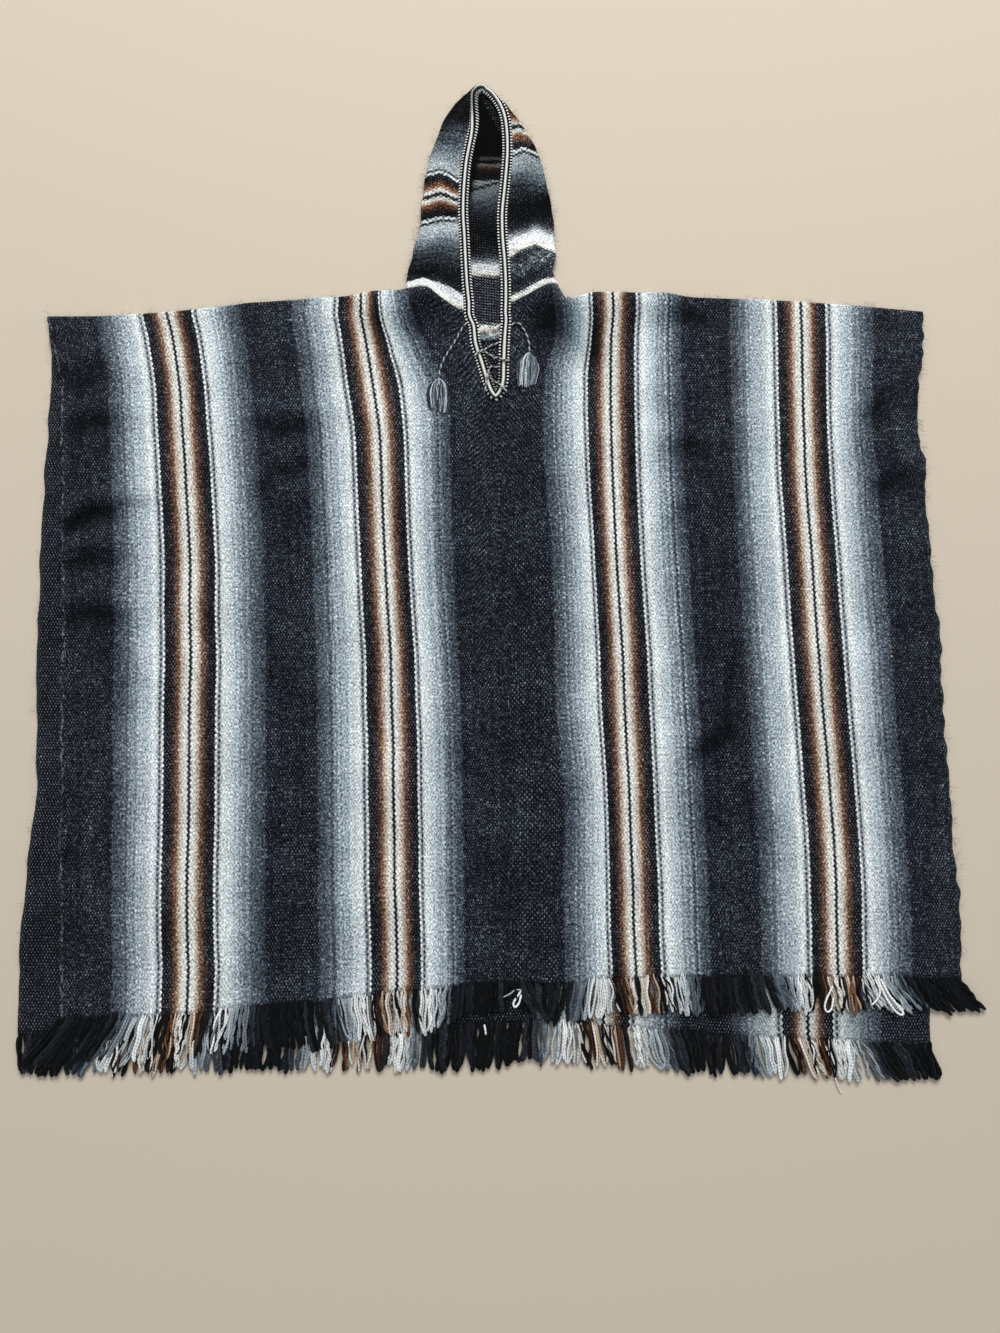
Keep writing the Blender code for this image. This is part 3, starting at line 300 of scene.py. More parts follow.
# How little light the inside of the hood gets, by height.
HOOD_DEPTHS = ((0.66, 0.705, 0.725, 0.742, 0.762, 0.775, 0.80, 0.84, 0.87, 0.90, 0.92),
               (0.12, 0.24, 0.14, 0.14, 0.46, 0.62, 0.70, 0.63, 0.72, 0.93, 1.0))

# How the fringes fall. The front's and the back's: x, sideways lean; then x, front and back length.
FRONT_LEAN = mm(
    (-560, -34), (-515, -42), (-490, -36), (-444, -28), (-430, -20), (-412, -10), (-376, -6), (-347, -11),
    (-310, -9), (-275, 0), (-190, 13), (-160, 7), (-135, 6), (-90, 2), (-33, -6), (10, -2), (52, 16),
    (76, 4), (98, -14), (126, -10), (148, -4), (173, 10), (210, 3), (230, 8), (275, 3), (300, 7), (347, 10),
    (370, 14), (400, 3), (435, 6), (470, 6), (497, 26), (569, 26), (604, 30))
BACK_LEAN = mm(
    (-590, -4), (-500, -8), (-340, -6), (-90, -2), (6, -3), (105, -3), (135, 9), (183, 6), (236, 14),
    (262, 9), (300, -2), (314, 9), (373, 8), (400, 14), (440, 6), (461, -2), (475, 20), (505, 21),
    (537, 18), (566, 15))
FALL_LENGTHS = mm(
    (-590, 56, 48), (-350, 56, 50), (-200, 56, 52), (-70, 52, 54), (-20, 36, 54), (30, 36, 53),
    (70, 48, 52), (150, 46, 50), (350, 44, 46), (500, 44, 44), (580, 40, 42), (612, 33, 42))
# Single strands that lie their own way: a column of the cloth for the colour, thickness, points.
FRONT_STRAYS = (
    (112, 0.8, (25.3, -241, 9.8), (33.9, -236.5, 10.4), (40.3, -232.2, 10.4), (49, -232.8, 9.8),
     (51, -234.5, 8)),
    (102, 1.4, (47.3, -233.5, 8.5), (40.6, -242.8, 10.4), (37.5, -248.9, 10.6), (39.3, -253, 10.6),
     (44, -248.9, 10.6), (47.6, -238, 9)),
    (0, 0.8, (49.8, -233.1, 9), (53.3, -236.5, 10.4), (56.6, -244.8, 10.4), (52.1, -257.3, 9.4)),
    (102, 1.3, (442, -229, 8.5), (433, -244, 10.4), (430, -254, 10.6), (433, -260, 10.6),
     (438.5, -256, 10.6), (441.5, -242, 10.4)),
    (87.4, 1.4, (465, -223, 8.5), (463.5, -240, 10.4), (464.8, -256, 10.6), (467.8, -265, 10.6),
     (470, -254, 10.6), (469, -238, 10.4), (467.2, -224, 8.5)),
    (102, 1.2, (496, -220, 8), (501, -233, 10.4), (498.5, -243, 10.6), (490, -252, 10)),
    (104, 1.5, (499.5, -220, 8), (507, -240, 10.4), (516.5, -256, 10.6), (525, -263.5, 10.4),
     (529.2, -261.5, 10.4), (521, -251, 10.4), (511.2, -237.5, 10.4), (503.5, -220, 8)),
)
BACK_STRAYS = (
    (82, 0.9, (430, -302, 6), (433.2, -309.6, 6.2), (439, -329, 4), (444, -348, 2.2), (449.2, -360, 1.2)),
    (102, 1.3, (1, -275, 6), (2.2, -280, 7.2), (3, -287, 6)),
)
MATTED, MATTED_THICKNESS = 42, 1.36  # columns from a band's middle past which the dark yarn mats
LOOP_YARN = (0.00120, 0.00165)  # thickness of the fringe's yarns
TWISTED, OPEN = 0.50, 0.86  # of the loops, the share that twists, and the one past which they open wide
PAST_LEFT, PAST_RIGHT = -0.60, 0.566  # x past which the front's fringe lies on the floor
FIBRES, FIBRE_LENGTHS, FIBRE_RADII = 900, (0.004, 0.013), (0.00010, 0.00017)


# ---------------------------------------------------------------- curves
def curve(knots, values, at):
    """Values at places among the knots, on a smooth curve; values has an array like at for each knot."""
    knots = np.asarray(knots, float)
    last = len(knots) - 1
    low, high = np.maximum(np.arange(last + 1) - 1, 0), np.minimum(np.arange(last + 1) + 1, last)
    slopes = (values[high] - values[low]) / (knots[high] - knots[low]).reshape(-1, *[1] * (values.ndim - 1))
    i = np.clip(np.searchsorted(knots, at, side="right") - 1, 0, last - 1)
    span = knots[i + 1] - knots[i]
    t = np.clip((at - knots[i]) / span, 0, 1)
    a, b, slope_a, slope_b = (np.take_along_axis(table, k[None], axis=0)[0]
                              for table, k in ((values, i), (values, i + 1), (slopes, i), (slopes, i + 1)))
    return (a * (2 * t**3 - 3 * t**2 + 1) + b * (3 * t**2 - 2 * t**3)
            + span * slope_a * (t**3 - 2 * t**2 + t) + span * slope_b * (t**3 - t**2))


def smooth(table, column, at):
    """A column's values at places along the table's first one."""
    at = np.asarray(at, float)
    rows = np.array([(row[0], row[column]) for row in table])
    values = rows[:, 1].reshape(-1, *[1] * at.ndim)
    return curve(rows[:, 0], np.broadcast_to(values, (len(rows), *at.shape)), at)


def selvage_x(column, y):
    """X of the cloth's edge in a column of SIDES."""
    size, *shape = SIDE_WAVES[column]
    return smooth(SIDES, column, y) + size * waves(y, 0, *shape)


def mix(a, b, t):
    return a + (b - a) * t


def ease(t):
    t = np.clip(t, 0, 1)
    return t * t * (3 - 2 * t)


def beside(*arrays):
    """Arrays side by side along a last axis."""
    return np.stack(np.broadcast_arrays(*arrays), axis=-1)


def unit(vectors):
    return vectors / (np.linalg.norm(vectors, axis=-1, keepdims=True) + 1e-12)


def lengths(line):
    """The way along a line to each of its points."""
    return np.r_[0, np.cumsum(np.linalg.norm(np.diff(line, axis=0), axis=1))]


def route(points, steps):
    """Points along a smooth curve through the given ones (Catmull-Rom)."""
    p = np.array(points, float)
    p = np.vstack([p[:1], p, p[-1:]])
    t = np.linspace(0, 1, steps, endpoint=False)[:, None]
    found = [0.5 * (2 * b + (c - a) * t + (2 * a - 5 * b + 4 * c - d) * t**2 + (3 * b - a - 3 * c + d) * t**3)
             for a, b, c, d in zip(p, p[1:], p[2:], p[3:])]
    return np.vstack(found + [p[-1:]])


def even(points, step, closed=False):
    """The same line with points at equal distances, the way to each, and the line's length."""
    p = np.vstack([points, points[:1]]) if closed else np.asarray(points)
    along = lengths(p)
    count = max(int(round(along[-1] / step)), 2)
    at = np.linspace(0, along[-1], count + 1)
    found = np.stack([np.interp(at, along, column) for column in p.T], axis=1)
    return (found[:-1], at[:-1], along[-1]) if closed else (found, at, along[-1])


def waves(x, y, seed, longest, shortest):
    """Soft uneven waves between about -1 and 1."""
    scatter, count, total = np.random.default_rng(seed), 14, 0.0
    for _ in range(count):
        turn, length = scatter.uniform(0, 2 * math.pi), scatter.uniform(shortest, longest)
        total = total + np.sin((x * math.cos(turn) + y * math.sin(turn)) * 2 * math.pi / length
                               + scatter.uniform(0, 2 * math.pi))
    return total / math.sqrt(count)


def folds(table, x, y):
    rise = 0.0
    for fx, fy, heading, length, width, height in table:
        turn = math.radians(heading)
        dx, dy = x - fx, y - fy
        along = (dx * math.cos(turn) + dy * math.sin(turn)) / length
        # A fold wanders a little off its straight line.
        bend = 0.35 * width * np.sin(3.1 * along + 40 * fx)
        across = (dy * math.cos(turn) - dx * math.sin(turn) + bend) / width
        rise = rise + height * np.exp(-(across**2) - along**4)
    return rise


def above_zero(rise):
    return 0.5 * (rise + np.sqrt(rise**2 + KNEE**2)) - KNEE / 2


# ---------------------------------------------------------------- materials
class Value:
    """A node's output; arithmetic on it makes Math nodes."""

    def __init__(self, socket):
        self.socket, self.tree = socket, socket.id_data

    def calc(self, operation, *others):
        return node(self.tree, "Math", dict(enumerate((self, *others))), operation=operation)

    def __add__(self, other):
        return self.calc("ADD", other)

    def __sub__(self, other):
        return self.calc("SUBTRACT", other)

    def __rsub__(self, other):
        return self.calc("MULTIPLY_ADD", -1.0, other)

    def __mul__(self, other):
        return self.calc("MULTIPLY", other)

    def __abs__(self):
        return self.calc("ABSOLUTE")

    __radd__, __rmul__ = __add__, __mul__


def connect(item, socket):
    if isinstance(item, Value):
        item.tree.links.new(item.socket, socket)
    else:
        socket.default_value = item


def node(tree, kind, inputs, output=0, **settings):
    """A new node's output. inputs has a Value, number or colour for its sockets."""
    made = tree.nodes.new("ShaderNode" + kind)
    for key, setting in settings.items():
        setattr(made, key, setting)
    for key, item in inputs.items():
        connect(item, made.inputs[key])
    return Value(made.outputs[output])


def linear(colour):
    """Linear colour from 8-bit sRGB."""
    return tuple(v / 12.92 if v <= 0.04045 else ((v + 0.055) / 1.055) ** 2.4
                 for v in (c / 255 for c in colour)) + (1.0,)


def soft_step(value, low, high):
    return node(value.tree, "MapRange", {"Value": value, "From Min": low, "From Max": high},
                interpolation_type="SMOOTHSTEP")


def vector(x, y, z):
    return node(x.tree, "CombineXYZ", {0: x, 1: y, 2: z})


def noise(x, y, z, detail=2.0, rough=0.55):
    """Noise about 0.5, at one wave for each unit of x and y."""
    return node(x.tree, "TexNoise", {"Vector": vector(x, y, z), "Scale": 1.0, "Detail": detail,
                                     "Roughness": rough}, "Fac")


def white(x, y, z=0.0):
    return node(x.tree, "TexWhiteNoise", {"Vector": vector(x, y, z)}, "Value")


def ramp(value, stops):
    """Colours by place: stops are (place, 8-bit sRGB), from 0."""
    reach = stops[-1][0]
    made = node(value.tree, "ValToRGB", {"Fac": value * (1 / reach)}, "Color")
    elements = made.socket.node.color_ramp.elements
    for _ in range(len(stops) - 2):
        elements.new(0.5)
    for element, (place_at, colour) in zip(elements, stops):
        element.position = place_at / reach
        element.color = linear(colour)
    return made


def blend(share, a, b):
    """Colour a, and b by the share. Colours are Values or 8-bit sRGB."""
    tree = next(item.tree for item in (share, a) if isinstance(item, Value))
    a, b = (linear(item) if isinstance(item, tuple) else item for item in (a, b))
    return node(tree, "Mix", {0: share, 6: a, 7: b}, 2, data_type="RGBA")


def gamma(colour, power):
    return node(colour.tree, "Gamma", {"Color": colour, "Gamma": power})


def first_two(place_at):
    x = node(place_at.tree, "SeparateXYZ", {0: place_at})
    return x, Value(x.socket.node.outputs[1])


def weave_place(tree):
    return first_two(node(tree, "UVMap", {}, uv_map="weave"))


def attribute(tree, name):
    return node(tree, "Attribute", {}, "Fac", attribute_name=name)


def material(name, roughness, sheen=0.0, sheen_rough=0.5):
    made = bpy.data.materials.new(name)
    made.use_nodes = True
    shader = made.node_tree.nodes["Principled BSDF"]
    for key, value in (("Roughness", roughness), ("Specular IOR Level", 0.10), ("Sheen Weight", sheen),
                       ("Sheen Roughness", sheen_rough)):
        shader.inputs[key].default_value = value
    return made, made.node_tree, shader


def paint(shader, colour, shade, height, distance, strength):
    """Give a shader its colour times a number, and its bumps."""
    tree = colour.tree
    connect(node(tree, "VectorMath", {0: colour, "Scale": shade}, operation="SCALE"),
            shader.inputs["Base Color"])
    connect(node(tree, "Bump", {"Strength": strength, "Distance": distance, "Height": height}),
            shader.inputs["Normal"])


def stripe(*runs):
    """Ramp stops from runs of columns, each (first, colour) or (first, last, colour)."""
    return [(at, colour) for *ends, colour in runs for at in ends]


def from_band(column):
    """Columns between a place and the middle of the nearest band."""
    return abs(abs(abs(column) - BETWEEN) - BAND)


CREAM, SNOW, CHARCOAL = (228, 228, 222), (230, 237, 238), (15, 20, 29)
BAND_STOPS = stripe(
    (0, 0.85, (26, 32, 37)), (1.1, 3.6, CREAM), (4.5, (208, 200, 189)), (5.5, (194, 177, 161)),
    (6.7, (168, 142, 122)), (7.5, (118, 87, 67)), (8.8, (94, 64, 49)), (10.6, (52, 34, 31)),
    (13.0, 16.92, (13, 14, 19)), (17.08, 17.9, SNOW), (18.5, (160, 168, 172)), (19.08, 20.2, (66, 74, 80)),
    (20.7, (216, 224, 225)), (22.5, 24.0, SNOW), (25.5, (206, 217, 220)), (29.0, (195, 208, 214)),
    (31.5, (168, 182, 190)), (35.3, (154, 168, 177)), (36.3, (124, 136, 145)), (41.5, (104, 115, 125)),
    (43.0, (82, 92, 102)), (46.5, (64, 72, 82)), (49.7, (54, 62, 71)), (50.4, (25, 30, 38)),
    (52.0, 60.0, CHARCOAL),
)
YARN_STOPS = stripe(
    (0, 1.9, (12, 12, 15)), (2.1, 4.9, (240, 237, 230)), (5.3, 6.7, (206, 180, 152)),
    (7.2, 9.3, (102, 63, 38)), (9.8, 12.2, (54, 32, 23)), (12.8, 16.92, (9, 9, 11)),
    (17.08, 19.6, (242, 244, 242)), (20.0, 20.9, (36, 40, 44)), (21.1, 26.0, (244, 248, 248)),
    (29.5, (212, 222, 227)), (34.0, (150, 162, 170)), (38.5, (100, 112, 122)), (42.0, (50, 58, 68)),
    (45.5, (22, 27, 34)), (47.5, 60.0, (8, 11, 16)),
)
HOOD_STOPS = stripe(
    (0, 1.2, (38, 43, 48)), (1.5, 3.4, CREAM), (4.2, (190, 166, 144)), (5.6, (132, 86, 60)),
    (8.0, (82, 52, 41)), (10.4, 14.1, (15, 15, 18)), (14.3, 15.9, SNOW), (16.1, 17.6, (52, 59, 66)),
    (17.8, 21.0, (190, 200, 204)), (25.0, (158, 169, 176)), (29.0, (122, 133, 141)), (34.0, (91, 101, 109)),
    (41.0, (44, 50, 58)), (44.5, 48.5, (6, 8, 12)), (52.5, (14, 17, 22)), (55.0, (62, 68, 75)),
    (56.8, (168, 175, 180)), (58.0, 60.5, (242, 247, 248)), (63.2, (243, 240, 228)),
    (64.3, 76.6, (22, 27, 34)), (77.0, 84.0, (228, 230, 224)),
)
LACE_STOPS = stripe((0.0, (84, 88, 90)), (0.42, (104, 108, 110)), (0.58, (160, 163, 162)),
                    (1.0, (206, 208, 205)))
TASSEL_STOPS = stripe((0.0, (40, 48, 56)), (0.45, (114, 129, 142)), (1.0, (218, 228, 234)))
WEFT, SELVAGE_DOT, HAIR = (150, 160, 170), (110, 120, 130), (140, 151, 162)
CORD_DARK, CORD_LIGHT = (214, 212, 207), (255, 254, 251)
STITCH_BLACK, STITCH_WHITE = (6, 7, 9), (248, 250, 249)
SPOT_IN, SPOT_HALF = 0.0016, 0.0021  # a stitch's white spot: from the braid's edge, and half its width
FLOOR_COLOUR = (214, 202, 184)
GREYS = (23.0, 31.0, 40.0, 47.0)  # columns between which the uneven grey wool starts and ends
ODD_YARNS = ((41.0, 0.46), (42.7, -0.36), (38.6, -0.22))  # column and how dark
HAIR_WAYS = ((150.0, 60.0, 19.0), (110.0, -90.0, 23.0))  # two directions of waves, and a seed
GRAIN, CLOUD, TUFT = 15.0, 4.0, 7.0  # bring the noises to a spread of about one


def woven(name, stops, nap, dots, hidden, openness, fade=(0.25, 0.45), lift=1.0, selvage=0.0, sheen=0.10):
    """Warp-faced wool cloth: columns of yarn in cells, brushed by the nap's share.

    dots is how much of the weft shows between the cells, openness how wide they let it through,
    hidden how far the nap hides it in some columns, and selvage how much the edge's stitches show.
    The pieces' tone is mostly painted shade, and painted light where it is negative, and fade how
    much that takes from its brightness and its power.
    """
    banded = stops is BAND_STOPS
    made, tree, shader = material(name, 0.95, sheen, 0.45)
    w, v = weave_place(tree)
    x, y = first_two(node(tree, "TexCoord", {}, "Object"))
    t = v * (1 / PICK)
    wander = (noise(x * 9, y * 9, 1.0) - 0.5) * 0.5
    column = w * (1 / YARN) + wander
    u = column if banded else attribute(tree, "grid") * (1 / YARN) + wander
    # Two lattices of cells, half a repeat apart, count in whole columns and picks.
    cells = []
    for shift_u, shift_t in ((0.5, 0.0), (-0.5, 1.0)):
        cu = (u - shift_u + 1.0).calc("SNAP", 2.0) + shift_u
        ct = (t - shift_t + 1.0).calc("SNAP", 2.0) + shift_t
        du, dt = (u - cu) * (1 / CELL[0]), (t - ct) * (1 / CELL[1])
        cells.append((cu, ct, du * du + dt * dt))
    pick = cells[0][2].calc("LESS_THAN", cells[1][2])
    cu, ct, radius = (b + pick * (a - b) for a, b in zip(*cells))
    cell = white(cu, ct)

    # The greys are spun from uneven wool, so their columns differ.
    distance = from_band if banded else abs
    near = distance(column + (cu - u))
    greys = soft_step(near, *GREYS[:2]) - soft_step(near, *GREYS[2:])
    uneven = ((white(cu, 0.0, 5.0) - 0.5) * 6.0 + (cell - 0.5) * 4.0) * greys
    fray = noise(x * 520, y * 380, 3.0) - 0.5
    colour = blend(nap, ramp(near + uneven, stops), ramp(distance(column + fray * 4.0) + uneven, stops))
    bare = (soft_step(noise(u * 0.16, v * 8, 15.0, detail=3.0), 0.40, 0.60) - 1.0) * hidden + 1.0
    # The pieces' tone is painted shade, and painted light where it is negative; less of the weft shows in the
    # shade.
    painted_shade = attribute(tree, "tone")
    gap = soft_step(radius, GAP[0] - openness, GAP[1] - openness) * (0.25 + white(cu, ct, 5.0) * 1.5)
    spots = gap * bare * (0.6 + white(cu, 0.0, 33.0) * 0.8) * (1.0 - painted_shade * 0.85)
    colour = blend(spots * dots, colour, WEFT)
    if selvage:
        border = soft_step(-1.0 * w * (1 / YARN), EDGE - 1.9, EDGE - 1.3) * soft_step(1.0 - radius, 0.3, 0.7)
        colour = blend(border * soft_step(cell, 0.35, 0.75) * selvage, colour, SELVAGE_DOT)
    # Felting: fine grain and soft clouds, stronger in the dark wool than in the white.
    grain = noise(x * 400, y * 330, 7.0, rough=0.6) - 0.5
    cloud = noise(x * 15, y * 13, 11.0, detail=4.0, rough=0.62) - 0.5
    felt = grain * GRAIN + cloud * CLOUD
    tufts = 0.0
    if nap:
        # The nap lies in small tufts, which show in the dark wool.
        tufts = (noise(x * 150, y * 125, 31.0, rough=0.6) - 0.5) * TUFT
        # Single hairs of the nap curl over the weave.
        hairs = [1.0 - soft_step(abs(noise(x * a + y * b, y * a - x * b, z, detail=1.0) - 0.5), 0.0, 0.020)
                 for a, b, z in HAIR_WAYS]
        shown = soft_step(noise(x * 90, y * 90, 27.0), 0.40, 0.65)
        colour = blend((hairs[0] + hairs[1]) * shown * (nap * 0.35), colour, HAIR)
    # Painted shade in the grooves between the floats.
    groove_shade = soft_step(radius, 0.15, 0.60) * 0.20
    yarn_tone = 0.82 + cell * 0.22 + white(cu, 0.0, 9.0) * 0.18
    shade = (1.0 + felt * 0.18) * yarn_tone * (1.0 - groove_shade) * (1.0 - painted_shade * fade[0])
    for at, amount in ODD_YARNS if banded else ():
        shade = shade * (1.0 - (1.0 - soft_step(abs(near - at), 0.35, 0.85)) * amount)
    dome = (1.0 - radius).calc("MAXIMUM", 0.0)
    paint(shader, gamma(colour, (1.0 - (felt + tufts) * 0.14) + painted_shade * fade[1]), shade * lift,
          dome * mix(1.0, 0.4, nap) + grain * 2.0, BUMP, 0.8)
    return made


def yarn_material(name, stops):
    """Plied yarn. stops are by column of the cloth, or by the ply's tone."""
    banded = stops is YARN_STOPS
    made, tree, shader = material(name, 0.9, 0.08)
    w, v = weave_place(tree)
    tone = attribute(tree, "tone")
    colour = ramp(from_band(w * (1 / YARN)) if banded else tone, stops)
    fuzz = noise(w * 1100, v * 420, tone * 9.0, detail=3.0, rough=0.65)
    # Painted shade: darker in the grooves between the plies, and by each piece's shade attribute.
    turn = (v * (2 * math.pi / PLY) + tone * 40.0).calc("SINE")
    power = 1.0 - (fuzz - 0.5) * 0.7 - (tone - 0.5) * (0.66 if banded else 0.0)
    shade = (0.90 + tone * 0.26) * (0.86 + fuzz * 0.30) * (0.95 + turn * 0.08)
    paint(shader, gamma(colour, power), shade * (1.0 - attribute(tree, "shade") * 0.80),
          fuzz + turn * 0.35, BUMP, 0.7)
    return made


def braid_material():
    """An ivory cord between two borders of black stitches, each with a white spot."""
    made, tree, shader = material("braid_yarn", 0.85, 0.05)
    along, across = weave_place(tree)
    away = abs(across)
    fuzz = noise(along * 900, across * 900, 2.0, detail=3.0, rough=0.7)
    stitch = (along * (2 * math.pi / STITCH) + away * STITCH_SLANT).calc("SINE")
    off = (away - BRAID_WIDTH / 2 + SPOT_IN) * (1 / SPOT_HALF)
    spot = soft_step(stitch * 0.5 - off * off * 0.7 + (fuzz - 0.5) * 0.3, 0.04, 0.16)
    # The cord is darker between its chain's links and towards its sides: painted shade.
    chain = (along * (2 * math.pi / CHAIN) + away * CHAIN_SLANT).calc("SINE")
    chain = chain - soft_step(away, 0.0008, CORD_HALF)
    cord = blend(soft_step(chain, -0.9, 0.3), CORD_DARK, CORD_LIGHT)
    split = soft_step(away, CORD_HALF - 0.0003, CORD_HALF + 0.0002)
    # Painted shade along the grooves beside the cord, and where the piece's shade attribute says.
    groove_shade = 1.0 - soft_step(abs(away - CORD_HALF), 0.0, 0.0013)
    shade = (0.84 + fuzz * 0.32) * (1.0 - groove_shade * 0.75) * (1.0 - attribute(tree, "shade") * 0.75)
    paint(shader, blend(split, cord, blend(spot, STITCH_BLACK, STITCH_WHITE)), shade,
          fuzz * 0.7 + chain * 0.4 * (1.0 - split), BRAID_BUMP, 0.7)
    return made


# ---------------------------------------------------------------- meshes
def place(points):
    return points - np.array([*CENTRE, 0.0])


def numbers(grid, first=0):
    """The numbers of a grid's points."""
    return np.arange(grid.shape[0] * grid.shape[1]).reshape(grid.shape[:2]) + first


def grid_quads(index, flip=False):
    """Quads between the rows and columns of an array of point numbers."""
    quads = np.stack([index[:-1, :-1], index[1:, :-1], index[1:, 1:], index[:-1, 1:]], axis=-1).reshape(-1, 4)
    return quads[:, ::-1] if flip else quads


def new_piece(name, node_name, slot, points, faces, uv, finish, inner=None, **values):
    """A piece that stands for its node and rides on the garment. values are for the materials.

    With inner points the piece is a closed wall of two sheets with the same quads and values.
    """
    points = np.reshape(points, (-1, 3))
    if inner is not None:
        count = len(points)
        starts, ends = faces.ravel(), np.roll(faces, -1, axis=1).ravel()
        rim = ~np.isin(starts * count + ends, ends * count + starts)
        a, b = starts[rim], ends[rim]
        points = np.vstack([points, inner.reshape(-1, 3)])
        faces = np.vstack([faces, faces[:, ::-1] + count, np.stack([b, a, a + count, b + count], axis=1)])
    mesh = bpy.data.meshes.new(name)
    mesh.from_pydata(place(points).tolist(), [], faces.tolist() if isinstance(faces, np.ndarray) else faces)
    corners = np.empty(len(mesh.loops), dtype=np.int32)
    mesh.loops.foreach_get("vertex_index", corners)
    uv = np.resize(uv, (len(points), 2))
    mesh.uv_layers.new(name="weave").data.foreach_set("uv", uv[corners].astype(np.float32).ravel())
    for key, value in values.items():
        made = mesh.attributes.new(key, "FLOAT", "POINT")
        made.data.foreach_set("value", np.resize(value, len(points)).astype(np.float32))
    mesh.shade_smooth()
    mesh.materials.append(finish)
    piece = bpy.data.objects.new(name, mesh)
    bpy.context.scene.collection.objects.link(piece)
    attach(piece, "root")
    if node_name:
        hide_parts(node_name)
    return piece


def fold_ring(crest, away):
    """Outer and inner points round a folded edge, and the way along them to its tuck on the floor.

    crest is an array of points where the upper layer starts to turn, away the direction out of it.
    """
    radius, angle = crest[:, 2] / 2, np.radians(FOLD_ANGLES)[:, None]
    outer, inner = (beside(crest[:, 0] + away[0] * r * np.cos(angle),
                           crest[:, 1] + away[1] * r * np.cos(angle), radius + r * np.sin(angle))
                    for r in (radius, np.maximum(radius - WALL, SEAM)))
    floor = outer[-1:] - TUCK * np.array([*away, 0.0])
    inner_floor = beside(floor[..., 0], floor[..., 1], inner[-1:, :, 2])
    along = radius * (math.pi / 2 - angle)
    return np.vstack([outer, floor]), np.vstack([inner, inner_floor]), np.vstack([along, along[-1:] + TUCK])


# ---------------------------------------------------------------- the front
def slit_edge(side, y):
    """The inner edge of one half of the front: the slit's edge, then the line below it."""
    below = mix(SLIT_FOOT[0], HEM_MIDDLE, (SLIT_FOOT[1] - y) / (SLIT_FOOT[1] - HEM_MIDDLE_Y))
    return np.where(y > SLIT_FOOT[1] + 1e-6, smooth(OPENING, COLUMN_OF[side], y), below)


def front_x(side, w, y):
    """X of the front's columns w at heights y."""
    w, y = np.broadcast_arrays(np.atleast_2d(w).astype(float), np.atleast_2d(y))
    guides = [selvage_x(FRONT_LEFT, y), smooth(BANDS, 1, y), smooth(BANDS, 2, y), smooth(MIDDLE_LEFT, 1, y),
              slit_edge(side, y), smooth(MIDDLE_RIGHT, 1, y), smooth(BANDS, 3, y), smooth(BANDS, 4, y),
              selvage_x(FRONT_RIGHT, y)]
    return curve(FRONT_KNOTS, np.stack(guides), w)


def top_edge(side, x):
    return smooth(TOP_EDGE[side], 1, x)


def hem_line(which, x):
    column, size, seed = HEM_WAVES[which]
    return smooth(HEMS, column, x) + size * waves(x, 0, seed, 0.09, 0.02)


def front_height(x, y, side):
    """Height of the front's upper face."""
    top = top_edge(side, x)
    # The cloth lies flat round the slit and beside the braid.
    beside_slit = np.maximum(smooth(OPENING, 1, y) - x, x - smooth(OPENING, 2, y))
    below_slit = np.hypot(x - SLIT_FOOT[0], y - SLIT_FOOT[1]) - TIP_RADIUS
    from_slit = np.where(y > SLIT_FOOT[1], np.maximum(beside_slit, 0), below_slit)
    away = np.hypot((x - NECK_CALM[0]) / NECK_CALM[2], (y - NECK_CALM[1]) / NECK_CALM[3])
    calm = ease((away - 1.0) / 0.35) * ease((from_slit - 0.009) / 0.020)
    rise = above_zero((folds(FRONT_FOLDS, x, y) + 0.0007 + 0.0006 * waves(x, y, 31, 0.16, 0.05)) * calm)
    past_neck = ease((np.abs(x - NECK_CALM[0]) - NECK_HALF) / 0.02)
    roll = ROLL * ease(1 - (top - y) / ROLL_WAY) * past_neck
    sink = (LAYER_TOP - CLOTH - SEAM) * ease((x - smooth(SIDES, BACK_RIGHT, y) - PAST_BACK[0]) / PAST_BACK[1])
    return LAYER_TOP + np.maximum(rise, roll) - sink


def front_grid(side):
    """Points of one half of the front, row by row from its top edge, their weave and their painted shade."""
    w = np.linspace(-EDGE, 0, HALF_COLUMNS + 1) if side == "left" else np.linspace(0, EDGE, HALF_COLUMNS + 1)
    top = np.full(len(w), 0.69)
    for _ in range(6):
        top = top_edge(side, front_x(side, w, top)[0])
    hem = hem_line("front", front_x(side, w, np.full(len(w), HEM_MIDDLE_Y))[0])
    y = np.vstack([mix(top, SLIT_FOOT[1], np.arange(UPPER_ROWS)[:, None] / UPPER_ROWS),
                   mix(SLIT_FOOT[1], hem, np.arange(LOWER_ROWS + 1)[:, None] / LOWER_ROWS)])
    # The selvages curl in small scallops.
    rim = ease((np.abs(w) / EDGE - 0.98) / 0.02)
    x = front_x(side, w, y) + SCALLOP[0] * rim * waves(y, 0, *SCALLOP[1:])
    painted_shade = np.clip(folds(FRONT_SHADES, x, y), 0, 1)
    return (beside(x, y, front_height(x, y, side)),
            beside(w * YARN, (top - y) / (top - hem) * CLOTH_LENGTH["front"]), painted_shade)


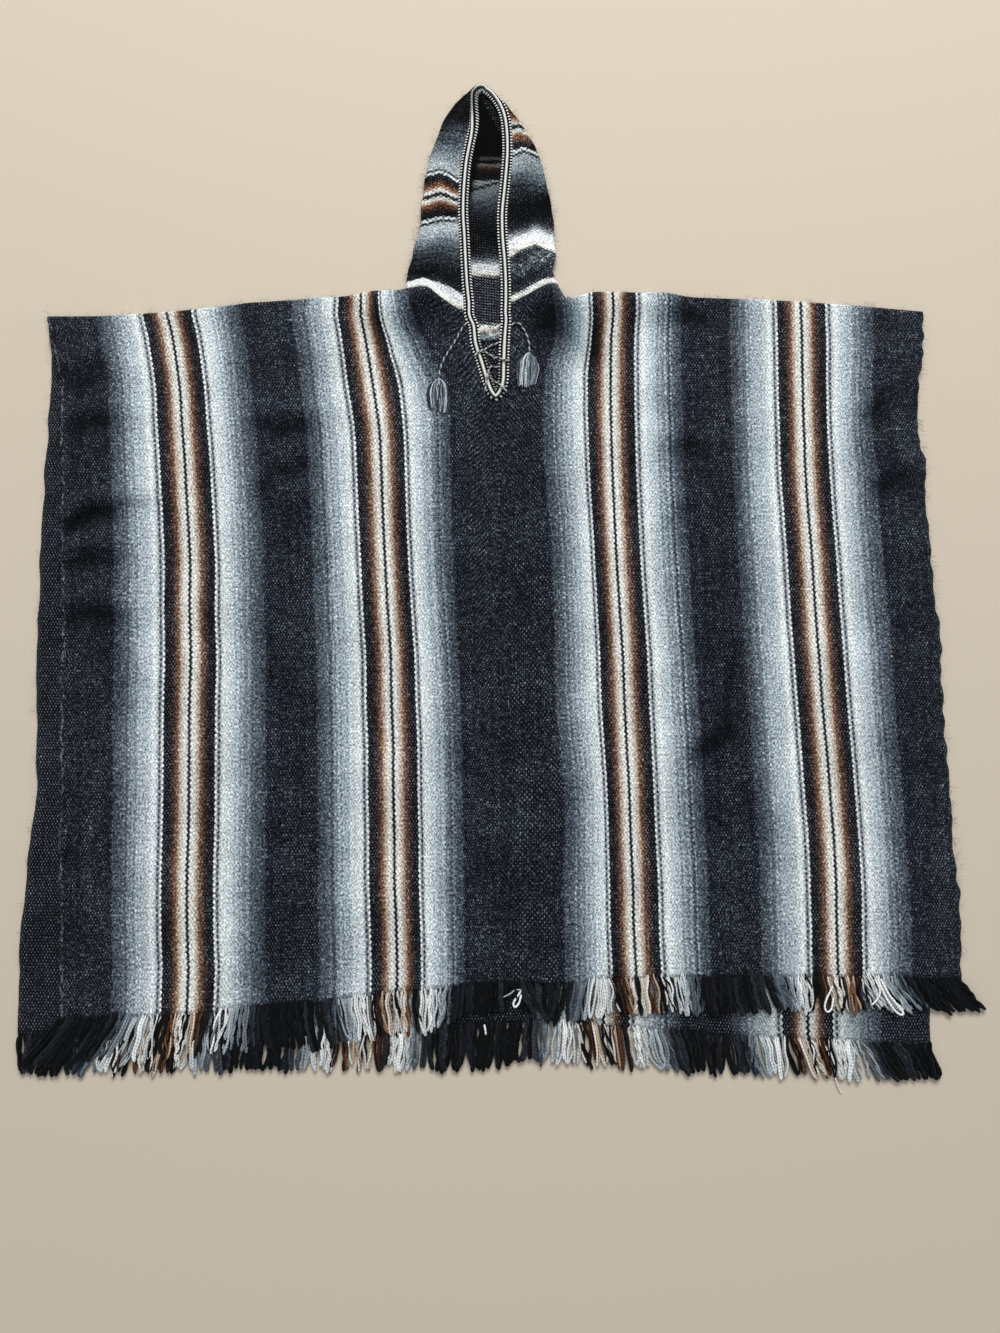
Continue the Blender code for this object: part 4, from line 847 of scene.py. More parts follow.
def build_front(finish):
    sheets, quads, total, shared = [], [], 0, None
    for side in ("left", "right"):
        points, uv, painted_shade = front_grid(side)
        index = numbers(points, total)
        total += index.size
        if side == "left":
            shared = index[UPPER_ROWS:, -1]
        else:
            index[UPPER_ROWS:, 0] = shared
        # The shoulder's fold, out of the top row beyond the neck.
        x = points[0, :, 0]
        folded = x < LEFT_SHOULDER[-1][0] if side == "left" else x > RIGHT_SHOULDER[0][0]
        ring, inside, along = fold_ring(points[0, folded], (0.0, 1.0))
        number = numbers(ring, total)
        total += number.size
        sheets += [(points, points - np.array([0, 0, WALL]), uv, painted_shade),
                   (ring, inside, beside(uv[0, folded, 0], -along), 0 * along)]
        quads += [grid_quads(index), grid_quads(np.vstack([index[0, folded][None], number]), flip=True)]
    outer, inner, uv, tone = (np.vstack([sheet[k].reshape(-1, width) for sheet in sheets])
                              for k, width in enumerate((3, 3, 2, 1)))
    quads = np.vstack(quads)
    # The halves share the line below the slit, so the right one's own points there go.
    used, quads = np.unique(quads, return_inverse=True)
    return new_piece("front", "front_panel", "body_cloth", outer[used], quads.reshape(-1, 4), uv[used],
                     finish, inner=inner[used], tone=tone[used])


# ---------------------------------------------------------------- the back
def build_back(finish):
    w = np.linspace(-EDGE, EDGE, BACK_COLUMNS + 1)

    def back_x(y):
        columns, y = np.broadcast_arrays(w[None, :], np.atleast_2d(y))
        middles = [smooth(BACK_BANDS, k, y) for k in range(1, 6)]
        guides = [selvage_x(BACK_LEFT, y)] + middles + [selvage_x(BACK_RIGHT, y)]
        return curve(BACK_KNOTS, np.stack(guides), columns)

    def top_of(x):
        left, right = (smooth(edge, 1, x) - FOLD_GAP - SEAM for edge in (LEFT_SHOULDER, RIGHT_SHOULDER))
        neck = np.where(x > BACK_NECK[-1][0], right, smooth(BACK_NECK, 1, x))
        return np.where(x < BACK_NECK[0][0], left, neck)

    top = np.full(len(w), 0.66)
    for _ in range(5):
        top = top_of(back_x(top)[0])
    hem = hem_line("back", back_x(np.full(len(w), -0.28))[0])
    y = mix(top, hem, np.linspace(0, 1, BACK_ROWS + 1)[:, None])
    x = back_x(y)
    # The strip that shows past the front's left edge lies a little unevenly.
    bare = ease((smooth(SIDES, FRONT_LEFT, y) - 0.006 - x) / 0.012)
    rise = bare * above_zero(0.0004 + 0.0010 * waves(x, y, 53, 0.12, 0.04))
    uv = beside(w * YARN, (top - y) / (top - hem) * CLOTH_LENGTH["back"])
    return new_piece("back", "back_panel", "body_cloth", beside(x, y, CLOTH + rise), grid_quads(numbers(x)),
                     uv, finish, inner=beside(x, y, bare * np.maximum(rise, 0)))


# ---------------------------------------------------------------- the hood
def stripe_place(which, x, y):
    """Distance from the middle of the hood's band, read between the guides, and place across the
    columns of yarn, which follow one of them."""
    guides = HOOD_GUIDES[which]
    at = [np.interp(x, *zip(*line)) if len(line) > 1 else np.full(x.shape, line[0][1])
          for _, *line in guides]
    values = [row[0] for row in guides]
    found = values[0] + (at[0] - y) * (values[1] - values[0]) / (at[0] - at[1])
    for k in range(len(guides) - 1):
        t = (at[k] - y) / (at[k] - at[k + 1])
        last = k == len(guides) - 2
        found = np.where((t >= 0) if last else (t >= 0) & (t < 1), mix(values[k], values[k + 1], t), found)
    # Past the last guides the colour stays, while the columns still change.
    past, turn = np.maximum(HOOD_TOP_STRIPE[which] - found, 0), 0.005 if which == "left" else 0.003
    found = np.where(past > 0, HOOD_TOP_STRIPE[which] + turn * (1 - np.cos(past / turn)), found)
    return found, at[len(at) // 2] - y


def cord_rolls(side, y):
    """How far the braid has rolled inwards, from 0 to 1 at the peak."""
    start, end = CORD_ROLLS[side]
    return ease((y - start) / (end - start))


def build_hood_side(side, finish):
    sign = -1.0 if side == "left" else 1.0
    column, ends = COLUMN_OF[side], HOOD_ENDS[side]
    share = np.r_[np.linspace(0, 1, HOOD_COLUMNS + 1), 1.0, 1.0][None, :]
    under_braid = np.r_[np.zeros(HOOD_COLUMNS + 1), 0.5, 1.0][None, :]
    climb = np.linspace(0, 1, HOOD_ROWS + 1)[:, None]
    x0 = mix(mix(ends[0], ends[1] + sign * BRAID_REST, share), ends[1], under_braid)
    foot = top_edge(side, x0)
    y = mix(foot + SEAM, HOOD_TOP[side], climb)
    wave = 0.0009 * waves(y, 0, 61 + column, 0.07, 0.02) * ease(climb / 0.1)
    radius = LAYER_TOP / 2 + ROLL / 2 * (1 - climb**6)
    outside = smooth(HOOD, column, y) - sign * radius + wave
    inside = smooth(OPENING, column, np.minimum(y, OPENING[-1][0]))
    rolled = cord_rolls(side, y)
    rest = mix(BRAID_REST, ROLLED_REST, rolled)
    edge = outside - sign * np.maximum(sign * (outside - inside) - rest, 0.0012)
    x = mix(mix(outside, edge, share), inside, under_braid)
    clear = ease((np.abs(x - inside) - rest) / mix(REST_EDGE, ROLLED_EDGE, rolled))
    roll = ROLL * ease(1 - share / 0.35)
    puff = PUFF * np.sin(math.pi * share) * ease(climb / 0.10) * ease((1 - climb) / 0.20)
    extra = (folds(HOOD_FOLDS, x, y) + 0.0005 * waves(x, y, 67, 0.07, 0.03)) * ease((1 - climb) / 0.12)
    z = LAYER_TOP + clear * above_zero(np.maximum(roll, puff) + extra)
    z = mix(front_height(x0, foot, side), z, ease(climb / 0.07))
    # The seam with the front sinks a little between the two cloths.
    z = z - SEAM_SINK * np.exp(-((climb * 0.30 / 0.004) ** 2)) * ease((z - LAYER_TOP) / 0.002)
    points = beside(x, y, z)
    ring, inner_ring, along = fold_ring(points[:, 0], (sign, 0.0))
    outer, inner = (np.hstack([folded[::-1].transpose(1, 0, 2), sheet])
                    for folded, sheet in ((ring, points), (inner_ring, points - np.array([0, 0, WALL]))))
    s, grid = stripe_place(side, outer[..., 0], outer[..., 1])
    v = np.hstack([sign * along[::-1].T + x[:, :1], x])
    # Painted shade from HOOD_SHADES; where negative it lightens the cloth.
    tone = np.clip(folds(HOOD_SHADES, outer[..., 0], outer[..., 1]), -1, 1)
    return new_piece(f"hood_side_{side}", f"hood_{side}", "hood_cloth", outer,
                     grid_quads(numbers(outer), flip=side == "left"), beside(s, v), finish, inner=inner,
                     tone=tone, grid=grid)


def build_hood_back(finish):
    share = np.linspace(0, 1, HOOD_BACK_COLUMNS + 1)[None, :]
    x0 = mix(BACK_NECK[0][0], BACK_NECK[-1][0], share)
    y = mix(smooth(BACK_NECK, 1, x0) + SEAM, HOOD_TOP["back"], np.linspace(0, 1, HOOD_ROWS + 1)[:, None])
    inset = (FOLD_GAP + 3 * SEAM) * ease((1.030 - y) / 0.030)
    x = mix(smooth(HOOD, 1, y) + inset, smooth(HOOD, 2, y) - inset, share)
    left_edge, right_edge = smooth(OPENING, 1, y), smooth(OPENING, 2, y)
    inside = ease((np.minimum(x - left_edge, right_edge - x) - 0.003) / 0.010)
    z = CLOTH + inside * above_zero(folds(BACK_HOOD_FOLDS, x, y) + 0.0004 * waves(x, y, 71, 0.05, 0.02))
    s, grid = stripe_place("back", x, y)
    # The light hardly reaches the top of the hood, and less its left.
    left = ease((-0.004 - 0.10 * (0.93 - y) - x) / 0.016) * ease((y - 0.80) / 0.06)
    outside = ease((np.maximum(left_edge - x, x - right_edge) - 0.004) / 0.004)
    tone = np.clip(np.interp(y, *HOOD_DEPTHS) + 0.6 * left, 0, 1) * (1 - 0.7 * outside)
    # A little comes in past the right side of the peak.
    wedge = ease((x - 0.004 + 0.48 * (y - 0.974)) / 0.005) * ease((right_edge - 0.002 - x) / 0.004)
    tone = tone - 0.42 * wedge * ease((y - 0.938) / 0.014) * ease((1.004 - y) / 0.010)
    return new_piece("hood_inside", "hood_back", "hood_cloth", beside(x, y, z),
                     grid_quads(numbers(x), flip=True), beside(s, x), finish, inner=beside(x, y, 0.0),
                     tone=tone, grid=grid)


def build_neck_seam(finish):
    """The back's neck seam and the cloth bunched below it, where they show inside the hood."""
    points, faces, uv, total = [], [], [], 0
    turn = np.arange(16) * 2 * math.pi / 16
    for name, places in NECK_SEAMS.items():
        line, along, _ = even(route(places, 12), 0.0007)
        lumps = 1 + 0.14 * waves(along[:, None] * 1.4, turn * 0.004, 91 + total, 0.014, 0.005)
        reach = line[:, 3:4] * lumps
        ring = beside(line[:, :1], line[:, 1:2] + reach * np.cos(turn),
                      np.maximum(line[:, 2:3] + reach * 0.75 * np.sin(turn), CLOTH / 2))
        index = numbers(ring, total)
        faces += grid_quads(np.hstack([index, index[:, :1]])).tolist()
        faces += [index[0][::-1].tolist(), index[-1].tolist()]
        points.append(ring.reshape(-1, 3))
        uv.append(beside(NECK_SEAM_STRIPES[name] + np.sin(turn) * 0.003, along[:, None]).reshape(-1, 2))
        total += index.size
    points, uv = np.vstack(points), np.vstack(uv)
    x, y = points[:, 0], points[:, 1]
    tone = np.clip(0.2 + 0.9 * waves(x, y, 97, 0.007, 0.003), 0, 1) * (y < 0.6425)
    return new_piece("back_neck_seam", None, "hood_cloth", points, faces, uv, finish, grid=uv[:, 0],
                     tone=tone)


# ---------------------------------------------------------------- the braid
def braid_path():
    low, high = OPENING[0][0], OPENING[-1][0]
    y = np.linspace(low, high, 90)
    left, right = beside(smooth(OPENING, 1, y), y), beside(smooth(OPENING, 2, y), y)[::-1]
    turn = np.linspace(math.pi, 0, 26)[1:-1]
    middle, reach = (right[0, 0] + left[-1, 0]) / 2, (right[0, 0] - left[-1, 0]) / 2
    peak = beside(middle + reach * np.cos(turn), high + PEAK_RISE * np.sin(turn))
    turn = np.linspace(0, -math.pi, 16)[1:-1]
    middle = (left[0, 0] + right[-1, 0]) / 2
    foot = beside(middle + TIP_RADIUS * np.cos(turn), low - TIP_DROP * (1 - np.abs(np.cos(turn)) ** 1.3))
    return np.vstack([left, peak, right, foot])


def build_braid(finish):
    path, along, length = even(braid_path(), STITCH / 8, closed=True)
    x, y = path.T[:, :, None]
    # The pattern meets itself where the path closes.
    along = along[:, None] * (round(length / STITCH) * STITCH / length)
    ahead = np.roll(path, -3, axis=0) - np.roll(path, 3, axis=0)
    # The way out turns slowly, so the inner border doesn't fold over itself round the peak and the foot.
    around, slow = np.vstack([ahead[-24:], ahead, ahead[:24]]), np.ones(25) / 25
    ahead = unit(np.stack([np.convolve(np.convolve(column, slow, "same"), slow, "same")
                           for column in around.T], axis=1)[24:-24])
    out = beside(-ahead[:, 1], ahead[:, 0])  # to the left of the way round: outwards
    half = BRAID_WIDTH / 2
    across = np.r_[np.linspace(-half, -CORD_HALF, 6), np.linspace(-CORD_HALF, CORD_HALF, 9)[1:-1],
                   np.linspace(CORD_HALF, half, 6)]
    away = np.abs(across)
    stitch = np.sin(2 * math.pi * along / STITCH + away * STITCH_SLANT)
    edge = away > CORD_HALF - 1e-6
    # Round the peak the braid rolls inwards: the outer border tucks under and the inner one opens out.
    left = x < (OPENING[-1][1] + OPENING[-1][2]) / 2
    rolled = np.where(left, cord_rolls("left", y), cord_rolls("right", y))
    past = np.maximum(away - CORD_HALF, 0)
    # The cord thins into a shaded line down the left of the peak, and thickens below the neck.
    turned = ease((y - 0.955) / 0.035) * ease((-0.0115 - x) / 0.005)
    spread = np.where(across < 0, mix(1.0, np.where(left, 1.55, 1.0), rolled), mix(1.0, 0.25, rolled))
    cord_width = 1 - 0.45 * turned + 0.16 * ease((0.66 - y) / 0.05)
    reach = np.minimum(away, CORD_HALF) * cord_width + past * spread
    reach = np.sign(across) * reach * (1 + 0.035 * stitch * edge)
    body = np.sqrt(np.clip(1 - ((away - (half + CORD_HALF) / 2) / ((half - CORD_HALF) / 2)) ** 2, 0, 1))
    border = BRAID_EDGE * (0.45 + 0.75 * body) * (1 + 0.16 * stitch)
    chain = np.sin(2 * math.pi * along / CHAIN + away * CHAIN_SLANT)
    dome = np.sqrt(np.clip(1 - (across / (CORD_HALF + 0.0002)) ** 2, 0, 1))
    cord = 0.0012 + (BRAID_HEIGHT - 0.0012) * dome * (1 + 0.05 * chain)
    base = LAYER_TOP + SEAM - PEAK_DROP * ease((y - 1.004) / 0.012)
    dip = rolled * past * (across < 0) * 0.45  # the opened border slopes into the hood
    top = base + np.where(edge, border, cord) - dip
    top = np.dstack([path[:, None] + out[:, None] * reach[..., None], top])
    under = np.dstack([path[:, None] + out[:, None] * reach[:, (-1, 0), None] * 0.97, base - dip[:, (-1, 0)]])
    rings = np.hstack([top, under])
    index = numbers(rings)
    index = np.vstack([index, index[:1]])
    # Low in the opening the inner border turns under, and so does the outer one round the foot: painted shade
    # darkens them there, as it does the cord's line down the left of the peak.
    low = np.where(x < SLIT_FOOT[0], ease((0.640 - y) / 0.025), ease((0.607 - y) / 0.018))
    inner_border = low * np.r_[across, 0, -half].clip(None, 0) / -half
    foot = ease((0.5745 - y) / 0.010) * (np.r_[across, half, 0] > CORD_HALF)
    shade = np.clip(0.62 * turned + 1.1 * inner_border + 0.6 * foot, 0, 1.15)
    return new_piece("braid_trim", "braid", "braid_yarn", rings, grid_quads(np.hstack([index, index[:, :1]])),
                     beside(along, np.r_[across, half, -half]), finish, shade=shade)


# ---------------------------------------------------------------- yarns
class Yarns:
    """Tubes of plied yarn gathered into one mesh."""

    def __init__(self, sides):
        self.sides, self.total = sides, 0
        self.points, self.faces, self.uv, self.tone, self.shade = [], [], [], [], []

    def add(self, line, radius, w, tone, lobe=0.12, pitch=0.0075, turn=0.0, ply_tone=0.0, taper=(0.7, 0.7),
            sunk_shade=0.0):
        """One tube, darkened by painted shade from 0 to 1 for how far down among its neighbours it lies."""
        line = np.asarray(line, float)
        radius, w, tone, sunk_shade = (np.broadcast_to(np.asarray(item, float), len(line))[:, None]
                                  for item in (radius, w, tone, sunk_shade))
        ahead = unit(np.gradient(line, axis=0))
        aside = np.cross(ahead, [0.0, 0.0, 1.0])
        flat = np.linalg.norm(aside, axis=1, keepdims=True) > 0.05
        aside = np.where(flat, unit(aside), [1.0, 0.0, 0.0])
        up = np.cross(aside, ahead)
        along = lengths(line)[:, None]
        angle = np.arange(self.sides) * 2 * math.pi / self.sides
        ply = angle - (2 * math.pi * along / pitch + turn)
        shape = np.ones((len(line), 1))
        shape[0], shape[-1] = taper
        r = radius * shape * (1 + lobe * np.cos(2 * ply))
        ring = (line[:, None] + aside[:, None] * (r * np.cos(angle))[..., None]
                + up[:, None] * (r * np.sin(angle))[..., None])
        index = numbers(ring, self.total)
        self.faces += grid_quads(np.hstack([index, index[:, :1]]), flip=True).tolist()
        self.faces += [index[0].tolist(), index[-1][::-1].tolist()]
        self.points.append(ring)
        self.uv.append(beside(w + 0 * ply, along))
        self.tone.append(np.clip(tone + ply_tone * np.cos(ply), 0, 1))
        # Painted shade: the given amount, and more on the tube's sides and underside.
        self.shade.append(np.clip(sunk_shade + 0.45 * np.clip(1 - np.sin(angle), 0, 1) ** 1.5, 0, 1))
        self.total += index.size

    def piece(self, name, node_name, slot, finish):
        points, uv, tone, shade = (np.vstack(item) for item in (self.points, self.uv, self.tone, self.shade))
        return new_piece(name, node_name, slot, points, self.faces, uv, finish, tone=tone, shade=shade)


def fringe_roots(which):
    """Columns of the fringe's loops, and X and Y where they leave the hem."""
    ws = np.linspace(-EDGE, EDGE, 2 * EDGE + 1)[1::2]
    if which == "front":
        halves = [front_x(side, ws, np.full(EDGE, HEM_MIDDLE_Y))[0] for side in ("left", "right")]
        xs = np.where(ws < 0, *halves)
    else:
        xs = np.interp(ws, BACK_KNOTS, (-0.581,) + BACK_BANDS[0][1:] + (0.5645,))
    return ws, xs, hem_line(which, xs)


def fringe_rest(which, x, y):
    """Height of what a fringe's strand lies on."""
    if which == "back":
        return np.zeros(len(y))
    under = np.where(y > smooth(HEMS, 2, x), CLOTH, 0.0028)
    under = np.where((x > PAST_RIGHT) | (x < PAST_LEFT), 0.0, under)
    return np.convolve(np.r_[[under[0]] * 2, under, [under[-1]] * 2], np.ones(5) / 5, "valid")


def loop_line(which, scatter, root, lean, gather, length, matted):
    """One loop of yarn: out of the hem, down, round its tip and back beside itself or twisted.

    Its tip moves by lean, and at the last by gather towards the middle of its bundle.
    A matted loop opens less wide than the others.
    """
    t = np.r_[0.0, 0.04, 0.09, np.linspace(0.16, 0.84, 7), 0.91, 0.96, 0.985, 1.0]
    bow, ripple = scatter.uniform(-0.0034, 0.0034), scatter.uniform(-0.0017, 0.0017)
    sway = bow * np.sin(math.pi * t) + ripple * np.sin(3 * math.pi * t + scatter.uniform(0, 3))
    down = beside(root[0] + lean * t**1.3 + gather * t**2.4 + sway, root[1] - length * t)
    ahead = unit(np.gradient(down, axis=0))
    aside = beside(-ahead[:, 1], ahead[:, 0])
    kind, lie = scatter.random(), scatter.random()
    width, twist = scatter.uniform(0.0012, 0.0016), 0.0
    if kind < TWISTED:
        twist = scatter.uniform(1.0, 2.2) * scatter.choice((-1, 1))
    elif kind > OPEN:
        width = scatter.uniform(0.0020, 0.0024) if matted else scatter.uniform(0.0024, 0.0036)
    tip = np.clip((t - 0.84) / 0.16, 0, 1)
    spread = mix(0.0013, width, np.sin(math.pi * np.clip(t / 0.95, 0, 1)) ** 0.8) * np.sqrt(1 - tip**2)
    rest = fringe_rest(which, *down.T)
    top = (0.0063 if root[0] < 0.585 else 0.0044) if which == "front" else 0.0030
    centre = rest + 0.0020 + 0.0040 * lie * np.sin(math.pi * t**0.75) ** 0.7 + 0.0010 * lie
    centre = mix(top - 0.0016 * (1 - lie), centre, ease((t - 0.10) / 0.22))
    lowest = rest + (0.0027 if matted else 0.0020)
    legs = [np.column_stack([down + aside * (sign * spread * np.cos(2 * math.pi * twist * t))[:, None],
                             np.maximum(centre + sign * spread * np.sin(2 * math.pi * twist * t), lowest)])
            for sign in (1, -1)]
    thick = np.interp(t, (0, 0.08, 0.20, 1), (0.45, 0.85, 1.0, 1.0))
    # Loops that lie low among the others are darkened with painted shade.
    sunk_shade = 0.50 * (1 - lie) * np.interp(t, (0, 0.3, 1.0), (0.4, 1.0, 0.8))
    return np.vstack([legs[0], legs[1][-2::-1]]), np.r_[thick, thick[-2::-1]], np.r_[sunk_shade, sunk_shade[-2::-1]]


def build_fringe(which, finish, seed):
    """Looped yarns along a hem, gathered in uneven bundles."""
    scatter = random.Random(seed)
    yarns = Yarns(8)
    leans, column, strays = (FRONT_LEAN, 1, FRONT_STRAYS) if which == "front" else (BACK_LEAN, 2, BACK_STRAYS)
    ws, xs, hem = fringe_roots(which)
    left = 0
    for i in range(len(ws)):
        if left == 0:
            # The dark wool mats into thicker loops.
            matted = from_band(ws[i]) > MATTED
            left = scatter.choice((2, 3, 3, 4) if matted else (1, 2, 2, 3))
            middle = xs[min(i + left // 2, len(ws) - 1)]
            pull = scatter.uniform(0.1, 0.6)
            shift, stretch = scatter.uniform(-0.004, 0.004), scatter.uniform(0.93, 1.05)
        left -= 1
        inside = scatter.uniform(0.0030, 0.0060)
        lean = float(smooth(leans, 1, xs[i])) + scatter.uniform(-0.0026, 0.0026)
        length = float(smooth(FALL_LENGTHS, column, xs[i])) * stretch * scatter.uniform(0.88, 1.05) + inside
        line, thick, sunk_shade = loop_line(which, scatter, (xs[i], hem[i] + inside), lean,
                                       shift + (middle - xs[i]) * pull, length, matted)
        legs = np.where(np.arange(len(line)) < len(line) // 2, -0.9, 0.9)
        colour = ws[i] + scatter.gauss(0, 1.1) + legs
        radius = thick * scatter.uniform(*LOOP_YARN) * (MATTED_THICKNESS if matted else 1.0)
        yarns.add(line, radius, colour * YARN, np.clip(scatter.gauss(0.5, 0.28), 0, 1),
                  turn=scatter.uniform(0, 6.28), pitch=scatter.uniform(0.007, 0.010), sunk_shade=sunk_shade)
    for colour, thick, *points in strays:
        line, _, _ = even(route(mm(*points), 8), 0.0012)
        yarns.add(line, thick / 1000, colour * YARN, 0.8, pitch=0.006)
    return yarns.piece(f"{which}_fringe_yarns", f"{which}_fringe", "fringe_yarn", finish)


def directions(heading):
    """The way ahead and the way to the right of it."""
    turn = math.radians(heading)
    return np.array([math.cos(turn), math.sin(turn), 0.0]), np.array([-math.sin(turn), math.cos(turn), 0.0])


def knot(yarns, middle, heading, size, tone):
    """Turns of yarn round a point, wound tight across the heading."""
    ahead, right = directions(heading)
    angle = np.linspace(0, 2 * math.pi * 2.6, 46)[:, None]
    along = np.linspace(-0.6, 0.6, 46)[:, None]
    line = ahead * along + right * np.cos(angle) + np.array([0, 0, 0.75]) * np.sin(angle)
    yarns.add(middle + size * line, KNOT_YARN, 0.0, tone)


def build_laces(finish, tassel_finish):
    rest = LAYER_TOP + SEAM + LACE_RADIUS
    for side, places in (("left", LEFT_LACE), ("right", RIGHT_LACE)):
        line, _, length = even(route([(x, y, rest) for x, y in places], 8), LACE_STEP)
        yarns = Yarns(10)
        yarns.add(line, LACE_YARN, 0.0, 0.5, lobe=0.24, pitch=0.0100, ply_tone=0.55)
        lace = yarns.piece(f"lace_yarn_{side}", f"lace_{side}", "lace_yarn", finish)
        tassel = build_tassel(side, tassel_finish)
        exit_at = tuple(place(line[:1])[0])
        [tuple(p) for p in place(line[::6])]
    for name, points in CROSSINGS.items():
        line, _, _ = even(route(points, 8), LACE_STEP)
        yarns = Yarns(10)
        yarns.add(line, LACE_YARN, 0.0, 0.66, lobe=0.24, pitch=0.0090, ply_tone=0.40, turn=len(name))
        if name == "foot":
            knot(yarns, mm(24.4, 562.5, OVER), 60, 0.0022, 0.8)
        yarns.piece(f"lacing_{name}", f"lace_cross_{name}", "lace_yarn", finish)


def build_tassel(side, finish):
    """Strands in three uneven locks: a short neck, a full middle and ragged ends."""
    scatter = random.Random(71 if side == "left" else 83)
    x, y, heading, head, width, length = TASSELS[side]
    ahead, right = directions(heading)
    start = np.array([x, y, LAYER_TOP + SEAM])
    yarns = Yarns(7)
    t = np.linspace(0, 1, 18)
    swell = np.interp(t, (0, 0.05, 0.10, 0.20, 0.33, 0.5, 0.75, 0.9, 1.0),
                      (0.10, 0.36, 0.56, 0.82, 0.96, 1.0, 0.97, 0.92, 0.84))
    rise = np.interp(t, (0, 0.10, 0.25, 0.6, 1.0), (0.45, 0.85, 1.0, 0.85, 0.35))
    for across_lock, spread, ends, height, share in LOCKS[side]:
        for _ in range(round(share * STRANDS)):
            off = scatter.gauss(0, 1)
            across = min(max(across_lock + spread * off, -1.0), 1.0)
            level = scatter.random() ** 0.6 * math.exp(-0.35 * off * off) * height
            end = (head + length) * ends * scatter.uniform(0.84, 1.0)
            bow = (scatter.uniform(-0.0016, 0.0016) * np.sin(math.pi * t)
                   + scatter.uniform(0.0002, 0.0008) * np.sin(11 * t + 40 * across))
            # The locks part below the tassel's neck.
            gather = mix(across * 0.9, across, ease((t - 0.1) / 0.3))
            side_way = gather * (width / 2 - 0.0009) * swell + bow
            line = start + ahead * (end * t)[:, None] + right * side_way[:, None]
            line[:, 2] += 0.0011 + level * (TASSEL_RISE - 0.0024) * rise
            radius = scatter.uniform(0.00058, 0.00088)
            # Higher strands are lighter, painted light, and low ones get painted shade; the rest of the tone
            # differs at random.
            tone = 0.32 + 0.22 * level + 0.24 * math.sin(11 * across + 2) + scatter.gauss(0, 0.30)
            yarns.add(line, radius, across, tone, pitch=0.007, turn=scatter.uniform(0, 6.28),
                      sunk_shade=0.60 * (1 - level) * np.interp(t, (0, 0.2, 1), (0.2, 1, 1)), taper=(0.7, 0.35))
    knot(yarns, start + ahead * 0.001 + np.array([0, 0, 0.0026]), heading, 0.0020, 0.7)
    return yarns.piece(f"tassel_yarns_{side}", f"tassel_{side}", "lace_yarn", finish)


def build_fibres(finish):
    """Loose hairs of the brushed wool along the edges."""
    scatter = random.Random(7)
    yarns = Yarns(3)
    y, climb = np.linspace(-0.20, 0.67, 200), np.linspace(0.72, 1.005, 90)
    left, right = np.linspace(-0.595, -0.115, 120), np.linspace(0.120, 0.602, 120)
    # x, y, height and the way out of each edge; the right selvage counts twice
    right_selvage = (smooth(SIDES, FRONT_RIGHT, y), y, 0.0040, (1.0, 0.0))
    edges = [(smooth(SIDES, BACK_LEFT, y), y, 0.0030, (-1.0, 0.0)),
             (smooth(SIDES, FRONT_LEFT, y), y, 0.0066, (-1.0, 0.0)), right_selvage, right_selvage,
             (left, smooth(LEFT_SHOULDER, 1, left), 0.0040, (0.0, 1.0)),
             (right, smooth(RIGHT_SHOULDER, 1, right), 0.0040, (0.0, 1.0)),
             (smooth(HOOD, 1, climb), climb, 0.0036, (-1.0, 0.2)),
             (smooth(HOOD, 2, climb), climb, 0.0036, (1.0, 0.2))]
    t = np.linspace(0, 1, 6)
    for k in range(FIBRES):
        xs, ys, height, way = edges[k % len(edges)]
        at = scatter.randrange(len(xs))
        turn = math.atan2(way[1], way[0]) + scatter.gauss(0, 0.9)
        bend, length = scatter.uniform(-1.8, 1.8), scatter.uniform(*FIBRE_LENGTHS)
        heading = turn + bend * t
        step = beside(np.cos(heading), np.sin(heading)) * length / 5
        line = np.array([xs[at], ys[at]]) - np.array(way) * 0.0022 + np.cumsum(step, axis=0)
        z = np.maximum(height + scatter.uniform(-0.002, 0.001) * t, 0.0004)
        yarns.add(np.column_stack([line, z]), scatter.uniform(*FIBRE_RADII), 0.0, scatter.uniform(0.0, 0.75),
                  lobe=0.0, taper=(1.0, 0.4))
    return yarns.piece("stray_fibres", None, "body_cloth", finish)


# ---------------------------------------------------------------- the whole
front_cloth = woven("brushed_cloth", BAND_STOPS, 0.28, 0.56, 0.62, 0.06, selvage=0.62)
# The back cloth is darker all over, partly painted shade where it lies under the front's fringe.
back_cloth = woven("plain_cloth", BAND_STOPS, 0.0, 1.35, 0.10, 0.045, lift=0.74)
hood_cloth = woven("hood_cloth", HOOD_STOPS, 0.20, 0.44, 0.68, 0.06, fade=(0.45, 0.50), sheen=0.04)
inside_cloth = woven("hood_inside_cloth", HOOD_STOPS, 0.0, 2.2, 0.3, 0.09, fade=(0.995, 0.30), sheen=0.0)
fringe_yarn = yarn_material("fringe_yarn", YARN_STOPS)
tassel_yarn = yarn_material("tassel_yarn", TASSEL_STOPS)

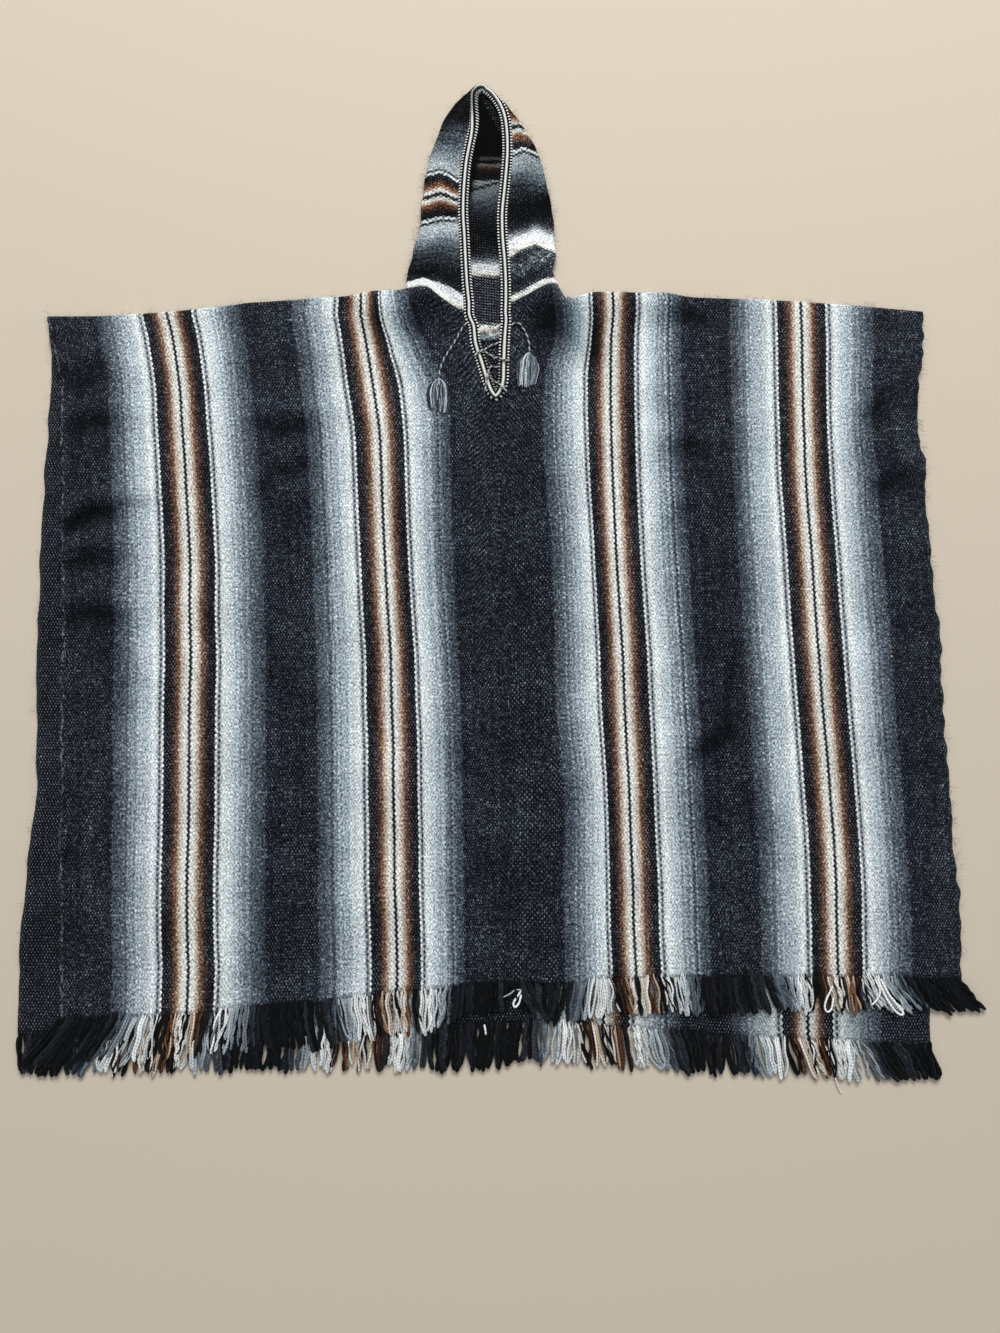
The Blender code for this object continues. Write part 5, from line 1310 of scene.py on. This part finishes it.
back = build_back(back_cloth)
front = build_front(front_cloth)
hood_inside = build_hood_back(inside_cloth)
build_neck_seam(hood_cloth)
hood_left = build_hood_side("left", hood_cloth)
hood_right = build_hood_side("right", hood_cloth)
build_braid(braid_material())
build_laces(yarn_material("lace_yarn", LACE_STOPS), tassel_yarn)
back_fringe = build_fringe("back", fringe_yarn, seed=11)
front_fringe = build_fringe("front", fringe_yarn, seed=23)
build_fibres(tassel_yarn)

# ---------------------------------------------------------------- floor, light and camera
floor_mesh = bpy.data.meshes.new("floor")
floor_mesh.from_pydata([(x, y, FLOOR) for x, y in ((-6, -6), (6, -6), (6, 6), (-6, 6))], [], [(0, 1, 2, 3)])
floor = bpy.data.objects.new("floor", floor_mesh)
bpy.context.scene.collection.objects.link(floor)
made, tree, shader = material("floor", 0.7)
shader.inputs["Base Color"].default_value = linear(FLOOR_COLOUR)
floor_mesh.materials.append(made)


def lamp(name, location, target, size, power, colour):
    light = bpy.data.lights.new(name, "AREA")
    light.shape, light.size, light.size_y = "RECTANGLE", size[0], size[1]
    light.energy, light.color = power, colour
    made = bpy.data.objects.new(name, light)
    made.location = location
    made.rotation_euler = (Vector(target) - Vector(location)).to_track_quat("-Z", "Y").to_euler()
    bpy.context.scene.collection.objects.link(made)


lamp("window", (0.3, 4.0, 3.4), (0.0, 0.05, 0.0), (3.4, 2.0), 262, (1.0, 0.99, 0.97))
lamp("fill", (-0.4, -1.6, 2.8), (0.0, 0.0, 0.0), (3.0, 3.0), 10, (0.95, 0.98, 1.0))
world = bpy.data.worlds.new("studio")
world.use_nodes = True
world.node_tree.nodes["Background"].inputs["Color"].default_value = (0.93, 0.96, 1.0, 1.0)
world.node_tree.nodes["Background"].inputs["Strength"].default_value = 0.34
bpy.context.scene.world = world
bpy.context.scene.view_settings.view_transform = "Standard"

camera_data = bpy.data.cameras.new("camera")
camera_data.lens, camera_data.sensor_width = 27.034, 36.0
camera = bpy.data.objects.new("camera", camera_data)
camera.location = (-CENTRE[0], -CENTRE[1], 1.3119)
camera.rotation_euler = (math.radians(7.793), math.radians(-0.911), 0.0)
bpy.context.scene.collection.objects.link(camera)
bpy.context.scene.camera = camera
